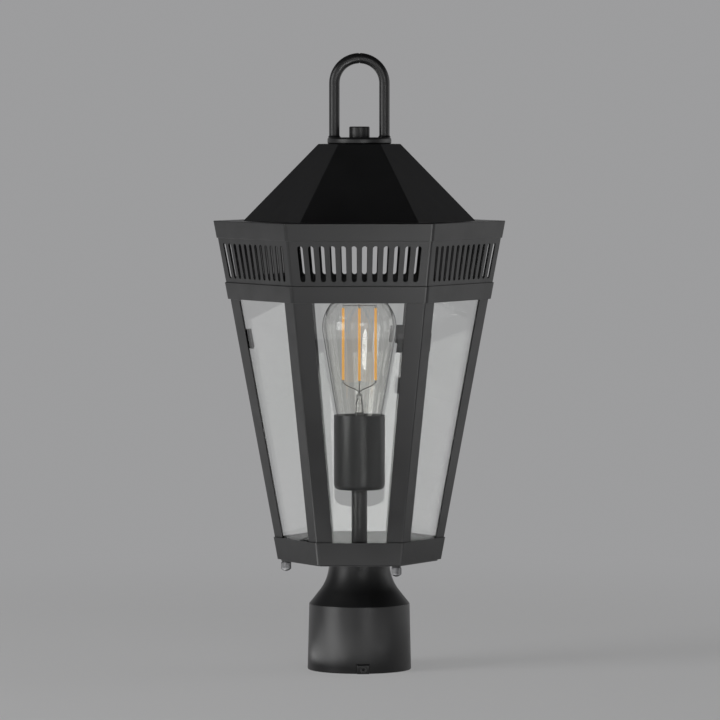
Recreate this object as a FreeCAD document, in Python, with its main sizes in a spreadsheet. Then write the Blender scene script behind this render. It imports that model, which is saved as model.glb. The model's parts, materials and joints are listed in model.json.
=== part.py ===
"""Hexagonal post top lantern: a cast post fitter carries the lamp holder, and a tapered glazed cage with a
slotted gallery band, a roof and a hanging loop lifts off it once three knurled nuts are undone.

Millimetres, +Z up.  The origin is the centre of the fitter's lower rim, on the axis of the post.
The plan is a regular hexagon with corners on +X and -X, so that one flat face looks along -Y.
"""
import FreeCAD, Part
import math
import os
import Sketcher

SIZES = {
    # cast post fitter
    "post_bore_radius": 39.0,
    "rim_wall": 3.6,
    "shoulder_wall": 2.3,
    "collar_height": 54.1,
    "bore_depth": 50.0,
    "stop_ledge_width": 3.6,
    "neck_radius": 25.0,
    "neck_sweep_radius": 36.3,
    "neck_slope": 38.5,
    "neck_land": 1.85,
    "fitter_web": 4.0,
    "neck_wall": 3.2,
    "shoulder_round": 0.8,
    # set screws and their bosses
    "boss_turn": 4.0,
    "boss_width": 11.5,
    "boss_height": 8.2,
    "boss_reach": 4.6,
    "boss_draft": 16.0,
    "set_screw_radius": 2.5,
    "set_screw_length": 11.0,
    "set_screw_height": 3.6,
    "set_screw_key": 1.25,
    "set_screw_key_depth": 2.5,
    "tip_clearance": 0.3,
    "thread_clearance": 0.06,
    # threaded nipple, stem tube and base plate
    "nipple_radius": 4.8,
    "nipple_bore": 3.4,
    "nipple_reach_below": 9.0,
    "nipple_reach_above": 6.0,
    "locknut_width": 16.0,
    "locknut_height": 4.0,
    "locknut_washer_radius": 9.0,
    "locknut_washer_thickness": 1.2,
    "plate_radius": 64.6,
    "plate_thickness": 1.4,
    "stem_radius": 6.4,
    "stem_length": 57.5,
    # lamp holder
    "cup_radius": 20.9,
    "cup_height": 61.3,
    "cup_wall": 0.9,
    "cup_round": 4.5,
    "holder_radius": 17.0,
    "holder_height": 46.0,
    "holder_bushing": 14.0,
    "shell_radius": 13.45,
    "shell_wall": 0.5,
    "shell_lift": 1.0,
    "contact_radius": 5.0,
    "contact_thickness": 1.0,
    "contact_lift": 2.5,
    # lamp
    "lamp_base_radius": 13.1,
    "lamp_base_height": 26.0,
    "lamp_tip_radius": 4.5,
    "lamp_tip_height": 2.2,
    "lamp_base_wall": 0.5,
    "glass_neck_radius": 12.5,
    "glass_neck_tuck": 4.0,
    "glass_neck_rise": 1.0,
    "bulb_shoulder_radius": 18.6,
    "bulb_shoulder_height": 14.6,
    "bulb_radius": 30.4,
    "bulb_belly_height": 86.8,
    "bulb_wall": 1.0,
    "filament_circle": 13.3,
    "filament_radius": 1.05,
    "filament_foot": 41.0,
    "filament_length": 64.0,
    "mount_radius": 4.2,
    "mount_flare_radius": 8.0,
    "mount_tip_radius": 2.4,
    "mount_height": 32.0,
    "wire_radius": 0.4,
    "wire_sink": 2.0,
    "wire_hub_radius": 1.0,
    # cage
    "cage_foot_apothem": 57.55,
    "cage_taper": 9.1,
    "sheet": 1.0,
    "seam": 0.04,
    "fold_radius": 1.9,
    "ring_height": 18.1,
    "ring_flange": 11.0,
    "post_leg_foot": 13.2,
    "post_leg_head": 15.0,
    "glazed_height": 214.0,
    "lower_band_height": 13.7,
    "gallery_height": 36.4,
    "rim_height": 14.1,
    "gallery_tuck": 0.6,
    "post_tuck": 3.0,
    "glass_thickness": 2.4,
    "glass_gap": 0.12,
    "glass_edge_gap": 2.6,
    "glass_tuck": 7.0,
    # slots of the gallery band
    "slots_per_face": 12,
    "slot_pitch": 8.46,
    "slot_width": 4.2,
    "slot_sill": 3.4,
    "slot_length": 29.0,
    "slot_fan_reach": 458.0,
    "slot_cut_margin": 5.0,
    # glass clips
    "clip_height_above_foot": 174.0,
    "clip_width": 15.2,
    "clip_wing": 17.6,
    "clip_sheet": 0.8,
    "rivet_radius": 1.6,
    "rivet_head_radius": 2.8,
    "rivet_head_height": 0.9,
    # roof
    "roof_foot_apothem": 82.6,
    "roof_head_apothem": 29.4,
    "roof_height": 62.9,
    "roof_seat": 4.0,
    "roof_wall": 1.3,
    # hanging loop
    "loop_plate_radius": 26.2,
    "loop_plate_thickness": 5.3,
    "loop_plate_round": 1.4,
    "loop_rod_radius": 4.3,
    "loop_radius": 20.5,
    "loop_leg": 44.3,
    "finial_nut_radius": 8.4,
    "finial_nut_height": 8.9,
    "finial_nut_round": 0.8,
    "loop_bolt_radius": 4.0,
    "loop_bolt_head_radius": 6.5,
    "loop_bolt_head_height": 4.0,
    "loop_bolt_grip": 6.0,
    # knurled nuts under the base plate
    "stud_circle": 60.2,
    "stud_radius": 2.5,
    "stud_length": 8.4,
    "stud_hole_gap": 0.3,
    "knob_radius": 4.15,
    "knob_height": 5.6,
    "knob_dome": 1.8,
    "knob_foot_radius": 1.5,
    "knob_bore_clearance": 0.08,
    "knob_end_gap": 0.24,
    "knob_washer_radius": 3.5,
    "knob_washer_thickness": 1.2,
    "knob_knurl": 0.28,
    "knob_ridges": 24,
}

# radii and levels up the axis, as formulas over the sizes and over the lines before them
LEVELS = {
    "rim_radius": "post_bore_radius + rim_wall",
    "shoulder_radius": "post_bore_radius + shoulder_wall",
    "sweep_foot_radius": "neck_radius + neck_sweep_radius * (1 - cos(neck_slope))",
    "sweep_foot": "collar_height + (shoulder_radius - sweep_foot_radius) / tan(neck_slope)",
    "sweep_head": "sweep_foot + neck_sweep_radius * sin(neck_slope)",
    "fitter_top": "sweep_head + neck_land",
    "plate_top": "fitter_top + plate_thickness",
    "cup_foot": "plate_top + stem_length",
    "cup_top": "cup_foot + cup_height",
    "holder_foot": "cup_foot + cup_wall",
    "holder_floor": "holder_foot + holder_bushing",
    "contact_top": "holder_floor + contact_lift + contact_thickness",
    "lamp_foot": "contact_top + seam",
    "lamp_base_foot": "lamp_foot + lamp_tip_height",
    "lamp_base_top": "lamp_base_foot + lamp_base_height",
    "bulb_centre": "lamp_base_top + bulb_belly_height",
    "ring_top": "plate_top + ring_height",
    "band_foot": "plate_top + glazed_height",
    "band_top": "band_foot + lower_band_height",
    "rim_foot": "band_top + gallery_height",
    "rim_top": "rim_foot + rim_height",
    "roof_top": "rim_top + roof_height",
    "loop_plate_top": "roof_top + loop_plate_thickness",
    "loop_centre": "loop_plate_top + loop_leg",
}

FACES = 6
CLAMP_CORNERS = (180, 300, 60)
SCREW_TURNS = (0, 120, 240)

doc = FreeCAD.newDocument("post_top_lantern")
sheet = doc.addObject("Spreadsheet::Sheet", "Sizes")
for row, (alias, size) in enumerate(SIZES.items(), 1):
    sheet.set(f"A{row}", alias)
    sheet.set(f"B{row}", str(size))
    sheet.setAlias(f"B{row}", alias)
doc.recompute()
levels = doc.addObject("App::VarSet", "Levels")
ORDER = []


def bind(text):
    """A formula over the sizes and levels, which are written without the name of what holds them."""
    words = []
    word = ""
    for letter in text + " ":
        if letter.isalnum() or letter == "_":
            word += letter
            continue
        holder = "Sizes." if word in SIZES else "Levels." if word in LEVELS else ""
        words.append(holder + word)
        words.append(letter)
        word = ""
    return "".join(words).strip()


def number(text):
    """The present value of a formula."""
    found = sheet.evalExpression(bind(text))
    return float(getattr(found, "Value", found))


for alias, formula in LEVELS.items():
    levels.addProperty("App::PropertyFloat", alias)
    levels.setExpression(alias, bind(formula))
    doc.recompute()


def cage_apothem(level, outset="0"):
    """Distance of a cage wall from the axis, square to a face, at a level and moved out by outset."""
    return f"(cage_foot_apothem + ({level} - plate_top) * tan(cage_taper) + {outset})"


def body_named(label):
    body = doc.addObject("PartDesign::Body", label)
    body.Label = label
    ORDER.append(body)
    return body


def sketch_on(body, role, lift="0"):
    """A sketch on one of the body's origin planes, moved along that plane's normal by lift."""
    sketch = body.newObject("Sketcher::SketchObject", body.Label + "_sketch")
    plane = next(item for item in body.Origin.OriginFeatures if item.Role == role)
    sketch.AttachmentSupport = [(plane, "")]
    sketch.MapMode = "FlatFace"
    sketch.setExpression("AttachmentOffset.Base.z", bind(lift))
    return sketch


def pin_down(sketch, geometry, place, across, up):
    """Fix one point of a sketch by two formulas."""
    for kind, text in (("DistanceX", across), ("DistanceY", up)):
        index = sketch.addConstraint(Sketcher.Constraint(kind, -1, 1, geometry, place, number(text)))
        sketch.setExpression(f"Constraints[{index}]", bind(text))


def fix_radius(sketch, geometry, text):
    index = sketch.addConstraint(Sketcher.Constraint("Radius", geometry, number(text)))
    sketch.setExpression(f"Constraints[{index}]", bind(text))


def fix_centre(sketch, geometry, start, end):
    """Hold the centre of a half-turn arc midway between its ends, across the arc's own chord."""
    flat = abs(number(end[0]) - number(start[0])) > abs(number(end[1]) - number(start[1]))
    kind, axis = ("DistanceY", 1) if flat else ("DistanceX", 0)
    middle = f"(({start[axis]}) + ({end[axis]})) / 2"
    index = sketch.addConstraint(Sketcher.Constraint(kind, -1, 1, geometry, 3, number(middle)))
    sketch.setExpression(f"Constraints[{index}]", bind(middle))


def outline(sketch, points):
    """Closed outline.  A point is (across, up), or (across, up, radius, left) where an arc of that radius
    leaves it towards the next point, with its centre on the left or the right of the way there."""
    first = sketch.GeometryCount
    count = len(points)
    spots = [FreeCAD.Vector(number(point[0]), number(point[1]), 0) for point in points]
    for index, point in enumerate(points):
        start = spots[index]
        end = spots[(index + 1) % count]
        if len(point) == 2:
            sketch.addGeometry(Part.LineSegment(start, end))
            continue
        radius = number(point[2])
        chord = end - start
        side = FreeCAD.Vector(-chord.y, chord.x, 0).normalize() * (1 if point[3] else -1)
        centre = (start + end) / 2 + side * math.sqrt(max(radius ** 2 - (chord.Length / 2) ** 2, 0))
        angles = [math.atan2(spot.y - centre.y, spot.x - centre.x) for spot in (start, end)]
        if not point[3]:
            angles.reverse()
        circle = Part.Circle(centre, FreeCAD.Vector(0, 0, 1), radius)
        sketch.addGeometry(Part.ArcOfCircle(circle, *angles))

    def ends(index):
        turned = len(points[index]) > 2 and not points[index][3]
        return (2, 1) if turned else (1, 2)

    for index, point in enumerate(points):
        following = (index + 1) % count
        half_turn = len(point) > 2 and (spots[following] - spots[index]).Length > 1.999 * number(point[2])
        sketch.addConstraint(Sketcher.Constraint(
            "Coincident", first + index, ends(index)[1], first + following, ends(following)[0]))
        pin_down(sketch, first + index, ends(index)[0], point[0], point[1])
        if half_turn:
            fix_centre(sketch, first + index, point, points[following])
        elif len(point) > 2:
            fix_radius(sketch, first + index, point[2])


def circle_at(sketch, across, up, radius):
    spot = FreeCAD.Vector(number(across), number(up), 0)
    index = sketch.addGeometry(Part.Circle(spot, FreeCAD.Vector(0, 0, 1), number(radius)))
    pin_down(sketch, index, 3, across, up)
    fix_radius(sketch, index, radius)


def hexagon(apothem, corner="0", turn=0):
    """Points of the hexagonal plan, its corners rounded where a corner radius is given."""
    points = []
    for corner_number in range(FACES):
        angle = 60 * corner_number + turn
        reach = f"(({apothem} - {corner}) / cos(30))"
        if corner == "0":
            points.append((f"{reach} * cos({angle})", f"{reach} * sin({angle})"))
            continue
        for swing, leaves_arc in ((-30, True), (30, False)):
            spot = (f"{reach} * cos({angle}) + {corner} * cos({angle + swing})",
                    f"{reach} * sin({angle}) + {corner} * sin({angle + swing})")
            points.append(spot + (corner, True) if leaves_arc else spot)
    return points


def feature(body, kind, **settings):
    """A PartDesign feature with its sizes bound to formulas."""
    item = body.newObject("PartDesign::" + kind, f"{body.Label}_{kind}".lower())
    for name, value in settings.items():
        if name in ("Length", "Radius", "Angle", "Size", "TaperAngle") and isinstance(value, str):
            item.setExpression(name, bind(value))
        else:
            setattr(item, name, value)
    doc.recompute()
    return item


def revolve(body, points, kind="Revolution"):
    sketch = sketch_on(body, "XZ_Plane")
    outline(sketch, points)
    return feature(body, kind, Profile=sketch, ReferenceAxis=(sketch, ["V_Axis"]), Angle="360")


def loft(body, sections, kind="AdditiveLoft"):
    """A ruled loft through outlines that lie at levels: sections is [(level, [outline, ...]), ...]."""
    sketches = []
    for level, outlines in sections:
        sketch = sketch_on(body, "XY_Plane", level)
        for points in outlines:
            outline(sketch, points)
        sketches.append(sketch)
    return feature(body, kind, Profile=sketches[0], Sections=sketches[1:], Ruled=True)


def prism(body, level, outlines, length, circles=(), kind="Pad"):
    """A pad up from a level, or with kind Pocket a cut down from it."""
    sketch = sketch_on(body, "XY_Plane", level)
    for points in outlines:
        outline(sketch, points)
    for circle in circles:
        circle_at(sketch, *circle)
    return feature(body, kind, Profile=sketch, Length=length)


def around(body, items, count):
    """A polar pattern of features about the axis."""
    z_axis = next(item for item in body.Origin.OriginFeatures if item.Role == "Z_Axis")
    pattern = body.newObject("PartDesign::PolarPattern", body.Label + "_pattern")
    pattern.Originals = items
    pattern.Axis = (z_axis, [""])
    pattern.Angle = 360
    pattern.Occurrences = count
    body.Tip = pattern
    doc.recompute()
    return pattern


def round_edges(body, radius, chosen, kind="Fillet"):
    """Round the edges of the body's tip that the test picks."""
    tip = body.Tip
    names = [f"Edge{index}" for index, edge in enumerate(tip.Shape.Edges, 1) if chosen(edge)]
    if not names:
        raise ValueError(f"{body.Label}: no edge to round")
    size = {"Fillet": "Radius", "Chamfer": "Size"}[kind]
    return feature(body, kind, Base=(tip, names), **{size: radius})


def edge_at(level, radius=None):
    """A test for an edge that lies flat at a level and, if a radius is given, on a circle of it."""
    height = number(level)
    reach = number(radius) if radius else None

    def test(edge):
        flat = all(abs(vertex.Z - height) < 1e-4 for vertex in edge.Vertexes)
        if not flat or abs(edge.BoundBox.ZLength) > 1e-4:
            return False
        if reach is None:
            return True
        return all(abs(math.hypot(vertex.X, vertex.Y) - reach) < 1e-3 for vertex in edge.Vertexes)

    return test


def turned(body, angle):
    body.Placement = FreeCAD.Placement(
        FreeCAD.Vector(), FreeCAD.Rotation(FreeCAD.Vector(0, 0, 1), angle))


def solid_part(label, kind, place=None, turn=None, **sizes):
    """A Part primitive bound to formulas; place is its foot, as three formulas."""
    item = doc.addObject("Part::" + kind, label)
    for name, text in sizes.items():
        item.setExpression(name, bind(text))
    if turn:
        item.Placement.Rotation = turn
    for axis, text in zip("xyz", place or ("0", "0", "0")):
        item.setExpression(f"Placement.Base.{axis}", bind(text))
    return item


def join(label, kind, items):
    """A named boolean of solids: MultiFuse, Compound or Cut."""
    item = doc.addObject("Part::" + kind, label)
    item.Label = label
    if kind == "Cut":
        item.Base, item.Tool = items
    elif kind == "Compound":
        item.Links = items
    else:
        item.Shapes = items
    ORDER.append(item)
    doc.recompute()
    return item


# ---------------------------------------------------------------- post fitter

def make_post_fitter():
    """Casting that slips over the post: bore with a stop ledge, sloped neck and top web."""
    body = body_named("post_fitter")
    inner_slope_radius = "(post_bore_radius - stop_ledge_width)"
    inner_neck = "(neck_radius - neck_wall)"
    inner_slope_top = f"(collar_height + ({inner_slope_radius} - {inner_neck}) / tan(neck_slope))"
    revolve(body, [
        ("post_bore_radius", "0"),
        ("rim_radius", "0"),
        ("shoulder_radius", "collar_height"),
        ("sweep_foot_radius", "sweep_foot", "neck_sweep_radius", False),
        ("neck_radius", "sweep_head"),
        ("neck_radius", "fitter_top"),
        ("nipple_radius + thread_clearance", "fitter_top"),
        ("nipple_radius + thread_clearance", "fitter_top - fitter_web"),
        (inner_neck, "fitter_top - fitter_web"),
        (inner_neck, inner_slope_top),
        (inner_slope_radius, "collar_height"),
        (inner_slope_radius, "bore_depth"),
        ("post_bore_radius", "bore_depth"),
    ])
    round_edges(body, "shoulder_round", edge_at("collar_height", "shoulder_radius"))
    boss_foot = sketch_on(body, "YZ_Plane", "rim_radius - rim_wall / 2")
    outline(boss_foot, [
        ("-boss_width / 2", "0"),
        ("boss_width / 2", "0"),
        ("boss_width / 2", "boss_height"),
        ("-boss_width / 2", "boss_height"),
    ])
    boss_head = sketch_on(body, "YZ_Plane", "rim_radius + boss_reach")
    narrowed = "(boss_width / 2 - boss_reach * tan(boss_draft))"
    outline(boss_head, [
        (f"-{narrowed}", "0"),
        (narrowed, "0"),
        (narrowed, "boss_height - shoulder_round"),
        (f"-{narrowed}", "boss_height - shoulder_round"),
    ])
    boss = feature(body, "AdditiveLoft", Profile=boss_foot, Sections=[boss_head], Ruled=True)
    around(body, [boss], len(SCREW_TURNS))
    hole_sketch = sketch_on(body, "YZ_Plane")
    circle_at(hole_sketch, "0", "set_screw_height", "set_screw_radius + thread_clearance")
    before = body.Tip.Shape.Volume
    hole = feature(body, "Pocket", Profile=hole_sketch, Reversed=True, Length="post_bore_radius * 2")
    if before - hole.Shape.Volume < 1:
        raise ValueError("the set screw holes cut nothing")
    around(body, [hole], len(SCREW_TURNS))
    turned(body, -90 + SIZES["boss_turn"])
    return body


def make_set_screw(index, turn):
    """Headless screw with a hexagon socket, its tip just outside the bore."""
    body = body_named(f"set_screw_{index}")
    tip = "(post_bore_radius + tip_clearance)"
    sketch = sketch_on(body, "YZ_Plane", tip)
    circle_at(sketch, "0", "set_screw_height", "set_screw_radius")
    feature(body, "Pad", Profile=sketch, Length="set_screw_length")
    key = sketch_on(body, "YZ_Plane", f"{tip} + set_screw_length")
    outline(key, [(x, f"set_screw_height + {y}") for x, y in hexagon("set_screw_key")])
    feature(body, "Pocket", Profile=key, Length="set_screw_key_depth")
    turned(body, -90 + SIZES["boss_turn"] + turn)
    return body


def tube(label, foot, length, outer, inner=None):
    """Plain round tube or rod standing on the axis."""
    body = body_named(label)
    circles = [("0", "0", outer)]
    if inner:
        circles.append(("0", "0", inner))
    prism(body, foot, [], length, circles)
    return body


def make_base_plate():
    """Hexagonal plate under the cage, clamped on the fitter by the nipple."""
    body = body_named("base_plate")
    holes = [("0", "0", "nipple_radius + thread_clearance")]
    for angle in CLAMP_CORNERS:
        holes.append((f"stud_circle * cos({angle})", f"stud_circle * sin({angle})",
                      "stud_radius + stud_hole_gap"))
    prism(body, "fitter_top", [hexagon("plate_radius * cos(30)", "fold_radius")], "plate_thickness", holes)
    return body


def make_locknut():
    body = body_named("nipple_locknut")
    top = "(fitter_top - fitter_web - locknut_washer_thickness)"
    prism(body, f"{top} - locknut_height", [hexagon("locknut_width / 2")], "locknut_height",
          [("0", "0", "nipple_radius + thread_clearance")])
    return body


# ---------------------------------------------------------------- lamp holder

def make_socket_cup():
    """Drawn cup round the lamp holder, with a rolled lower edge."""
    body = body_named("socket_cup")
    bore = "(nipple_radius + thread_clearance)"
    inner_round = "(cup_round - cup_wall)"
    revolve(body, [
        (bore, "cup_foot"),
        ("cup_radius - cup_round", "cup_foot", "cup_round", True),
        ("cup_radius", "cup_foot + cup_round"),
        ("cup_radius", "cup_top"),
        ("cup_radius - cup_wall", "cup_top"),
        ("cup_radius - cup_wall", "cup_foot + cup_round", inner_round, False),
        ("cup_radius - cup_round", "cup_foot + cup_wall"),
        (bore, "cup_foot + cup_wall"),
    ])
    return body


def make_holder():
    """Moulded lamp holder screwed on the nipple, open at the top for the screw shell."""
    body = body_named("lamp_holder")
    top = "(holder_foot + holder_height)"
    bore = "(shell_radius + shell_wall + seam)"
    revolve(body, [
        ("nipple_radius + thread_clearance", "holder_foot"),
        ("holder_radius - cup_round", "holder_foot"),
        ("holder_radius", "holder_foot + cup_round"),
        ("holder_radius", top),
        (bore, top),
        (bore, "holder_floor"),
        ("nipple_radius + thread_clearance", "holder_floor"),
    ])
    return body


def make_screw_shell():
    body = body_named("screw_shell")
    foot = "(lamp_base_foot + shell_lift)"
    top = "(holder_foot + holder_height)"
    revolve(body, [
        ("shell_radius", foot),
        ("shell_radius + shell_wall", foot),
        ("shell_radius + shell_wall", top),
        ("shell_radius", top),
    ])
    return body


def make_centre_contact():
    """Round tongue in the holder's floor that the lamp's tip presses on."""
    body = body_named("centre_contact")
    stalk = "(contact_radius / 2)"
    revolve(body, [
        ("0", "holder_floor - seam"),
        (stalk, "holder_floor - seam"),
        (stalk, "contact_top - contact_thickness"),
        ("contact_radius", "contact_top - contact_thickness"),
        ("contact_radius", "contact_top"),
        ("0", "contact_top"),
    ])
    return body


# ---------------------------------------------------------------- lamp

def make_lamp_base():
    """Screw cap of the lamp with its insulator and tip."""
    body = body_named("lamp_base")
    inner = "(lamp_base_radius - lamp_base_wall)"
    revolve(body, [
        ("0", "lamp_foot"),
        ("lamp_tip_radius", "lamp_foot"),
        ("lamp_base_radius - lamp_tip_height", "lamp_base_foot"),
        ("lamp_base_radius", "lamp_base_foot + lamp_tip_height"),
        ("lamp_base_radius", "lamp_base_top"),
        (inner, "lamp_base_top"),
        (inner, "lamp_base_foot + lamp_tip_height + lamp_base_wall"),
        ("0", "lamp_base_foot + lamp_tip_height + lamp_base_wall"),
    ])
    return body


def tangent_spot(from_radius, from_level, radius):
    """Where the flank through a point meets the round crown of that radius, as two formulas."""
    run = f"(bulb_centre - {from_level})"
    reach = f"sqrt({from_radius} * {from_radius} + {run} * {run})"
    swing = f"(acos({radius} / {reach}) + atan({from_radius} / {run}))"
    return (f"{radius} * sin({swing})", f"bulb_centre - {radius} * cos({swing})")


def bulb_side(radius_drop):
    """Right half of the bulb from its neck to its crown, moved inwards by the wall or by nothing."""
    shoulder = "(lamp_base_top + bulb_shoulder_height)"
    neck = f"(glass_neck_radius - {radius_drop})"
    shoulder_radius = f"(bulb_shoulder_radius - {radius_drop})"
    crown = f"(bulb_radius - {radius_drop})"
    meet = tangent_spot(shoulder_radius, shoulder, crown)
    return [
        (neck, "lamp_base_top - glass_neck_tuck"),
        (neck, "lamp_base_top + glass_neck_rise"),
        (shoulder_radius, shoulder),
        meet + (crown, True),
        ("0", f"bulb_centre + {crown}"),
    ]


def make_bulb():
    """Blown envelope: short neck, long flared flank and a round crown."""
    body = body_named("lamp_bulb")
    outer = bulb_side("0")
    inner = bulb_side("bulb_wall")
    back = [inner[-1]]
    back.append(inner[-2][:2])
    back.extend(inner[-3::-1])
    back[0] = back[0] + ("(bulb_radius - bulb_wall)", False)
    revolve(body, outer + back)
    return body


def make_lamp_mount():
    """Glass mount that stands in the neck and holds the wires."""
    body = body_named("lamp_mount")
    foot = "(lamp_base_foot + lamp_tip_height + lamp_base_wall)"
    top = "(lamp_base_top + mount_height)"
    revolve(body, [
        ("0", foot),
        ("mount_flare_radius", foot),
        ("mount_radius", "lamp_base_top"),
        ("mount_tip_radius", f"{top} - mount_radius"),
        ("mount_tip_radius", top),
        ("0", top),
    ])
    return body


def rod_between(label, start, end, radius):
    """Round wire between two points given as formulas."""
    run = [f"(({b}) - ({a}))" for a, b in zip(start, end)]
    flat = f"sqrt({run[0]} * {run[0]} + {run[1]} * {run[1]})"
    item = solid_part(label, "Cylinder", place=start, Radius=radius,
                      Height=f"sqrt({run[0]} * {run[0]} + {run[1]} * {run[1]} + {run[2]} * {run[2]})")
    lean = math.degrees(math.atan2(number(flat), number(run[2])))
    heading = math.degrees(math.atan2(number(run[1]), number(run[0])))
    item.Placement.Rotation = FreeCAD.Rotation(heading, lean, 0)
    return item


def make_filaments():
    """Four upright filament sticks, and the wires that hold them on the mount."""
    sticks = []
    wires = []
    foot = "(lamp_base_top + filament_foot)"
    head = f"({foot} + filament_length)"
    mount_top = "(lamp_base_top + mount_height)"
    for index, angle in enumerate((0, 90, 180, 270)):
        spot = (f"filament_circle * cos({angle})", f"filament_circle * sin({angle})")
        sticks.append(solid_part(f"stick_{index}", "Cylinder", place=spot + (foot,),
                                 Radius="filament_radius", Height="filament_length"))
        near = (f"mount_tip_radius * cos({angle})", f"mount_tip_radius * sin({angle})")
        wires.append(rod_between(f"lower_wire_{index}", near + (f"{mount_top} - wire_sink",), spot + (foot,),
                                 "wire_radius"))
        wires.append(rod_between(f"upper_wire_{index}", spot + (f"{head} - wire_radius",),
                                 ("0", "0", f"{head} - wire_radius"), "wire_radius"))
    hub = solid_part("wire_hub", "Cylinder", place=("0", "0", f"{head} - wire_radius * 2"),
                     Radius="wire_hub_radius", Height="wire_radius * 2")
    join("filament_sticks", "Compound", sticks)
    join("filament_wires", "Compound", wires + [hub])


# ---------------------------------------------------------------- cage

def wall_section(level, outset, thickness):
    """Two outlines of a hexagonal sheet wall at a level."""
    outer = cage_apothem(level, f"{outset} + {thickness}")
    inner = cage_apothem(level, outset)
    return [hexagon(outer, f"(fold_radius + {outset} + {thickness})"),
            hexagon(inner, f"(fold_radius + {outset})")]


def make_bottom_ring():
    """Folded ring at the foot of the cage: a sloped wall and a flange that lies on the base plate."""
    body = body_named("bottom_ring")
    loft(body, [("plate_top", wall_section("plate_top", "seam", "sheet")),
                ("ring_top", wall_section("ring_top", "seam", "sheet"))])
    opening = hexagon("(cage_foot_apothem - ring_flange)", "(fold_radius * 2)")
    holes = []
    for angle in CLAMP_CORNERS:
        holes.append((f"stud_circle * cos({angle})", f"stud_circle * sin({angle})", "stud_radius"))
    rim = hexagon("(cage_foot_apothem + seam + sheet / 2)", "(fold_radius + seam + sheet / 2)")
    prism(body, "plate_top", [rim, opening], "sheet", holes)
    return body


def make_corner_post(index):
    """Folded angle at a corner, its two legs flat against the neighbouring faces."""
    body = body_named(f"corner_post_{index}")
    sections = []
    foot = "(plate_top + sheet + seam)"
    head = "(band_top + post_tuck)"
    run = "((band_foot) - (ring_top))"
    for level in (foot, head):
        apothem = cage_apothem(level)
        leg = f"(post_leg_foot + (post_leg_head - post_leg_foot) * ({level} - ring_top) / {run})"
        reach = f"(({apothem} - fold_radius) / cos(30))"
        tip = f"({apothem} / cos(30))"
        inner_radius = "(fold_radius - sheet)"
        points = []
        for side in (-1, 1):
            points.append((f"{reach} + fold_radius * cos(30)", f"{side} * fold_radius * sin(30)"))
        points[0] = points[0] + ("fold_radius", True)
        points.append((f"{tip} - {leg} / 2", f"{leg} * cos(30)"))
        points.append((f"{tip} - {leg} / 2 - sheet * cos(30)", f"{leg} * cos(30) - sheet / 2"))
        points.append((f"{reach} + {inner_radius} * cos(30)", f"{inner_radius} / 2", inner_radius, False))
        points.append((f"{reach} + {inner_radius} * cos(30)", f"-{inner_radius} / 2"))
        points.append((f"{tip} - {leg} / 2 - sheet * cos(30)", f"sheet / 2 - {leg} * cos(30)"))
        points.append((f"{tip} - {leg} / 2", f"-{leg} * cos(30)"))
        sections.append((level, [points]))
    loft(body, sections)
    turned(body, 60 * (index - 1))
    return body


def make_glass_panel(index):
    """Flat tapered pane behind the legs of two corner posts."""
    body = body_named(f"glass_panel_{index}")
    sections = []
    foot = "(plate_top + sheet + seam)"
    head = "(band_foot + glass_tuck)"
    for level in (foot, head):
        outer = cage_apothem(level, "-sheet - glass_gap")
        inner = f"({outer} - glass_thickness)"
        half = f"({inner} * tan(30) - glass_edge_gap)"
        sections.append((level, [[
            (inner, f"-{half}"),
            (outer, f"-{half}"),
            (outer, half),
            (inner, half),
        ]]))
    loft(body, sections)
    turned(body, 60 * index - 30)
    return body


def make_gallery():
    """Gallery band: a folded sheet wall with a fan of round-ended slots cut in each face."""
    body = body_named("gallery_band")
    foot = "(band_foot + gallery_tuck)"
    head = "(rim_top - sheet - gallery_tuck)"
    loft(body, [(foot, wall_section(foot, "seam", "sheet")), (head, wall_section(head, "seam", "sheet"))])
    cut_start = cage_apothem("band_top", "-slot_cut_margin")
    cut_end = cage_apothem("rim_foot", "slot_cut_margin")
    sketch = sketch_on(body, "XZ_Plane", cut_start)
    low = "(band_top + slot_sill + slot_width / 2)"
    high = f"({low} + slot_length - slot_width)"
    middle = f"({low} + ({high} - {low}) / 2)"
    count = int(SIZES["slots_per_face"])
    for index in range(count):
        place = f"(slot_pitch * {index - (count - 1) / 2})"
        lean = f"atan({place} / slot_fan_reach)"
        half = "(slot_width / 2)"
        corners = []
        for level, side, arc in ((low, -1, True), (low, 1, False), (high, 1, True), (high, -1, False)):
            centre = f"{place} * (1 + ({level} - {middle}) / slot_fan_reach)"
            spot = (f"{centre} + {side} * {half} * cos({lean})", f"{level} - {side} * {half} * sin({lean})")
            corners.append(spot + (half, True) if arc else spot)
        outline(sketch, corners)
    before = body.Tip.Shape.Volume
    cut = feature(body, "Pocket", Profile=sketch, Reversed=True, Length=f"{cut_end} - {cut_start}")
    if before - cut.Shape.Volume < 1:
        raise ValueError("the slots cut nothing")
    around(body, [cut], FACES)
    return body


def make_lower_band():
    """Flat trim strip round the gallery's foot."""
    body = body_named("lower_band")
    outset = "(seam + sheet + seam)"
    loft(body, [("band_foot", wall_section("band_foot", outset, "sheet")),
                ("band_top", wall_section("band_top", outset, "sheet"))])
    return body


def make_upper_rim():
    """Folded rim over the gallery's top edge, with a flange that carries the roof."""
    body = body_named("upper_rim")
    outset = "(seam + sheet + seam)"
    loft(body, [("rim_foot", wall_section("rim_foot", outset, "sheet")),
                ("rim_top", wall_section("rim_top", outset, "sheet"))])
    rim = hexagon(cage_apothem("rim_top - sheet", f"{outset} + sheet / 2"), "(fold_radius * 2)")
    opening = hexagon("(roof_foot_apothem - roof_seat)", "fold_radius")
    prism(body, "rim_top - sheet", [rim, opening], "sheet")
    return body


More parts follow.
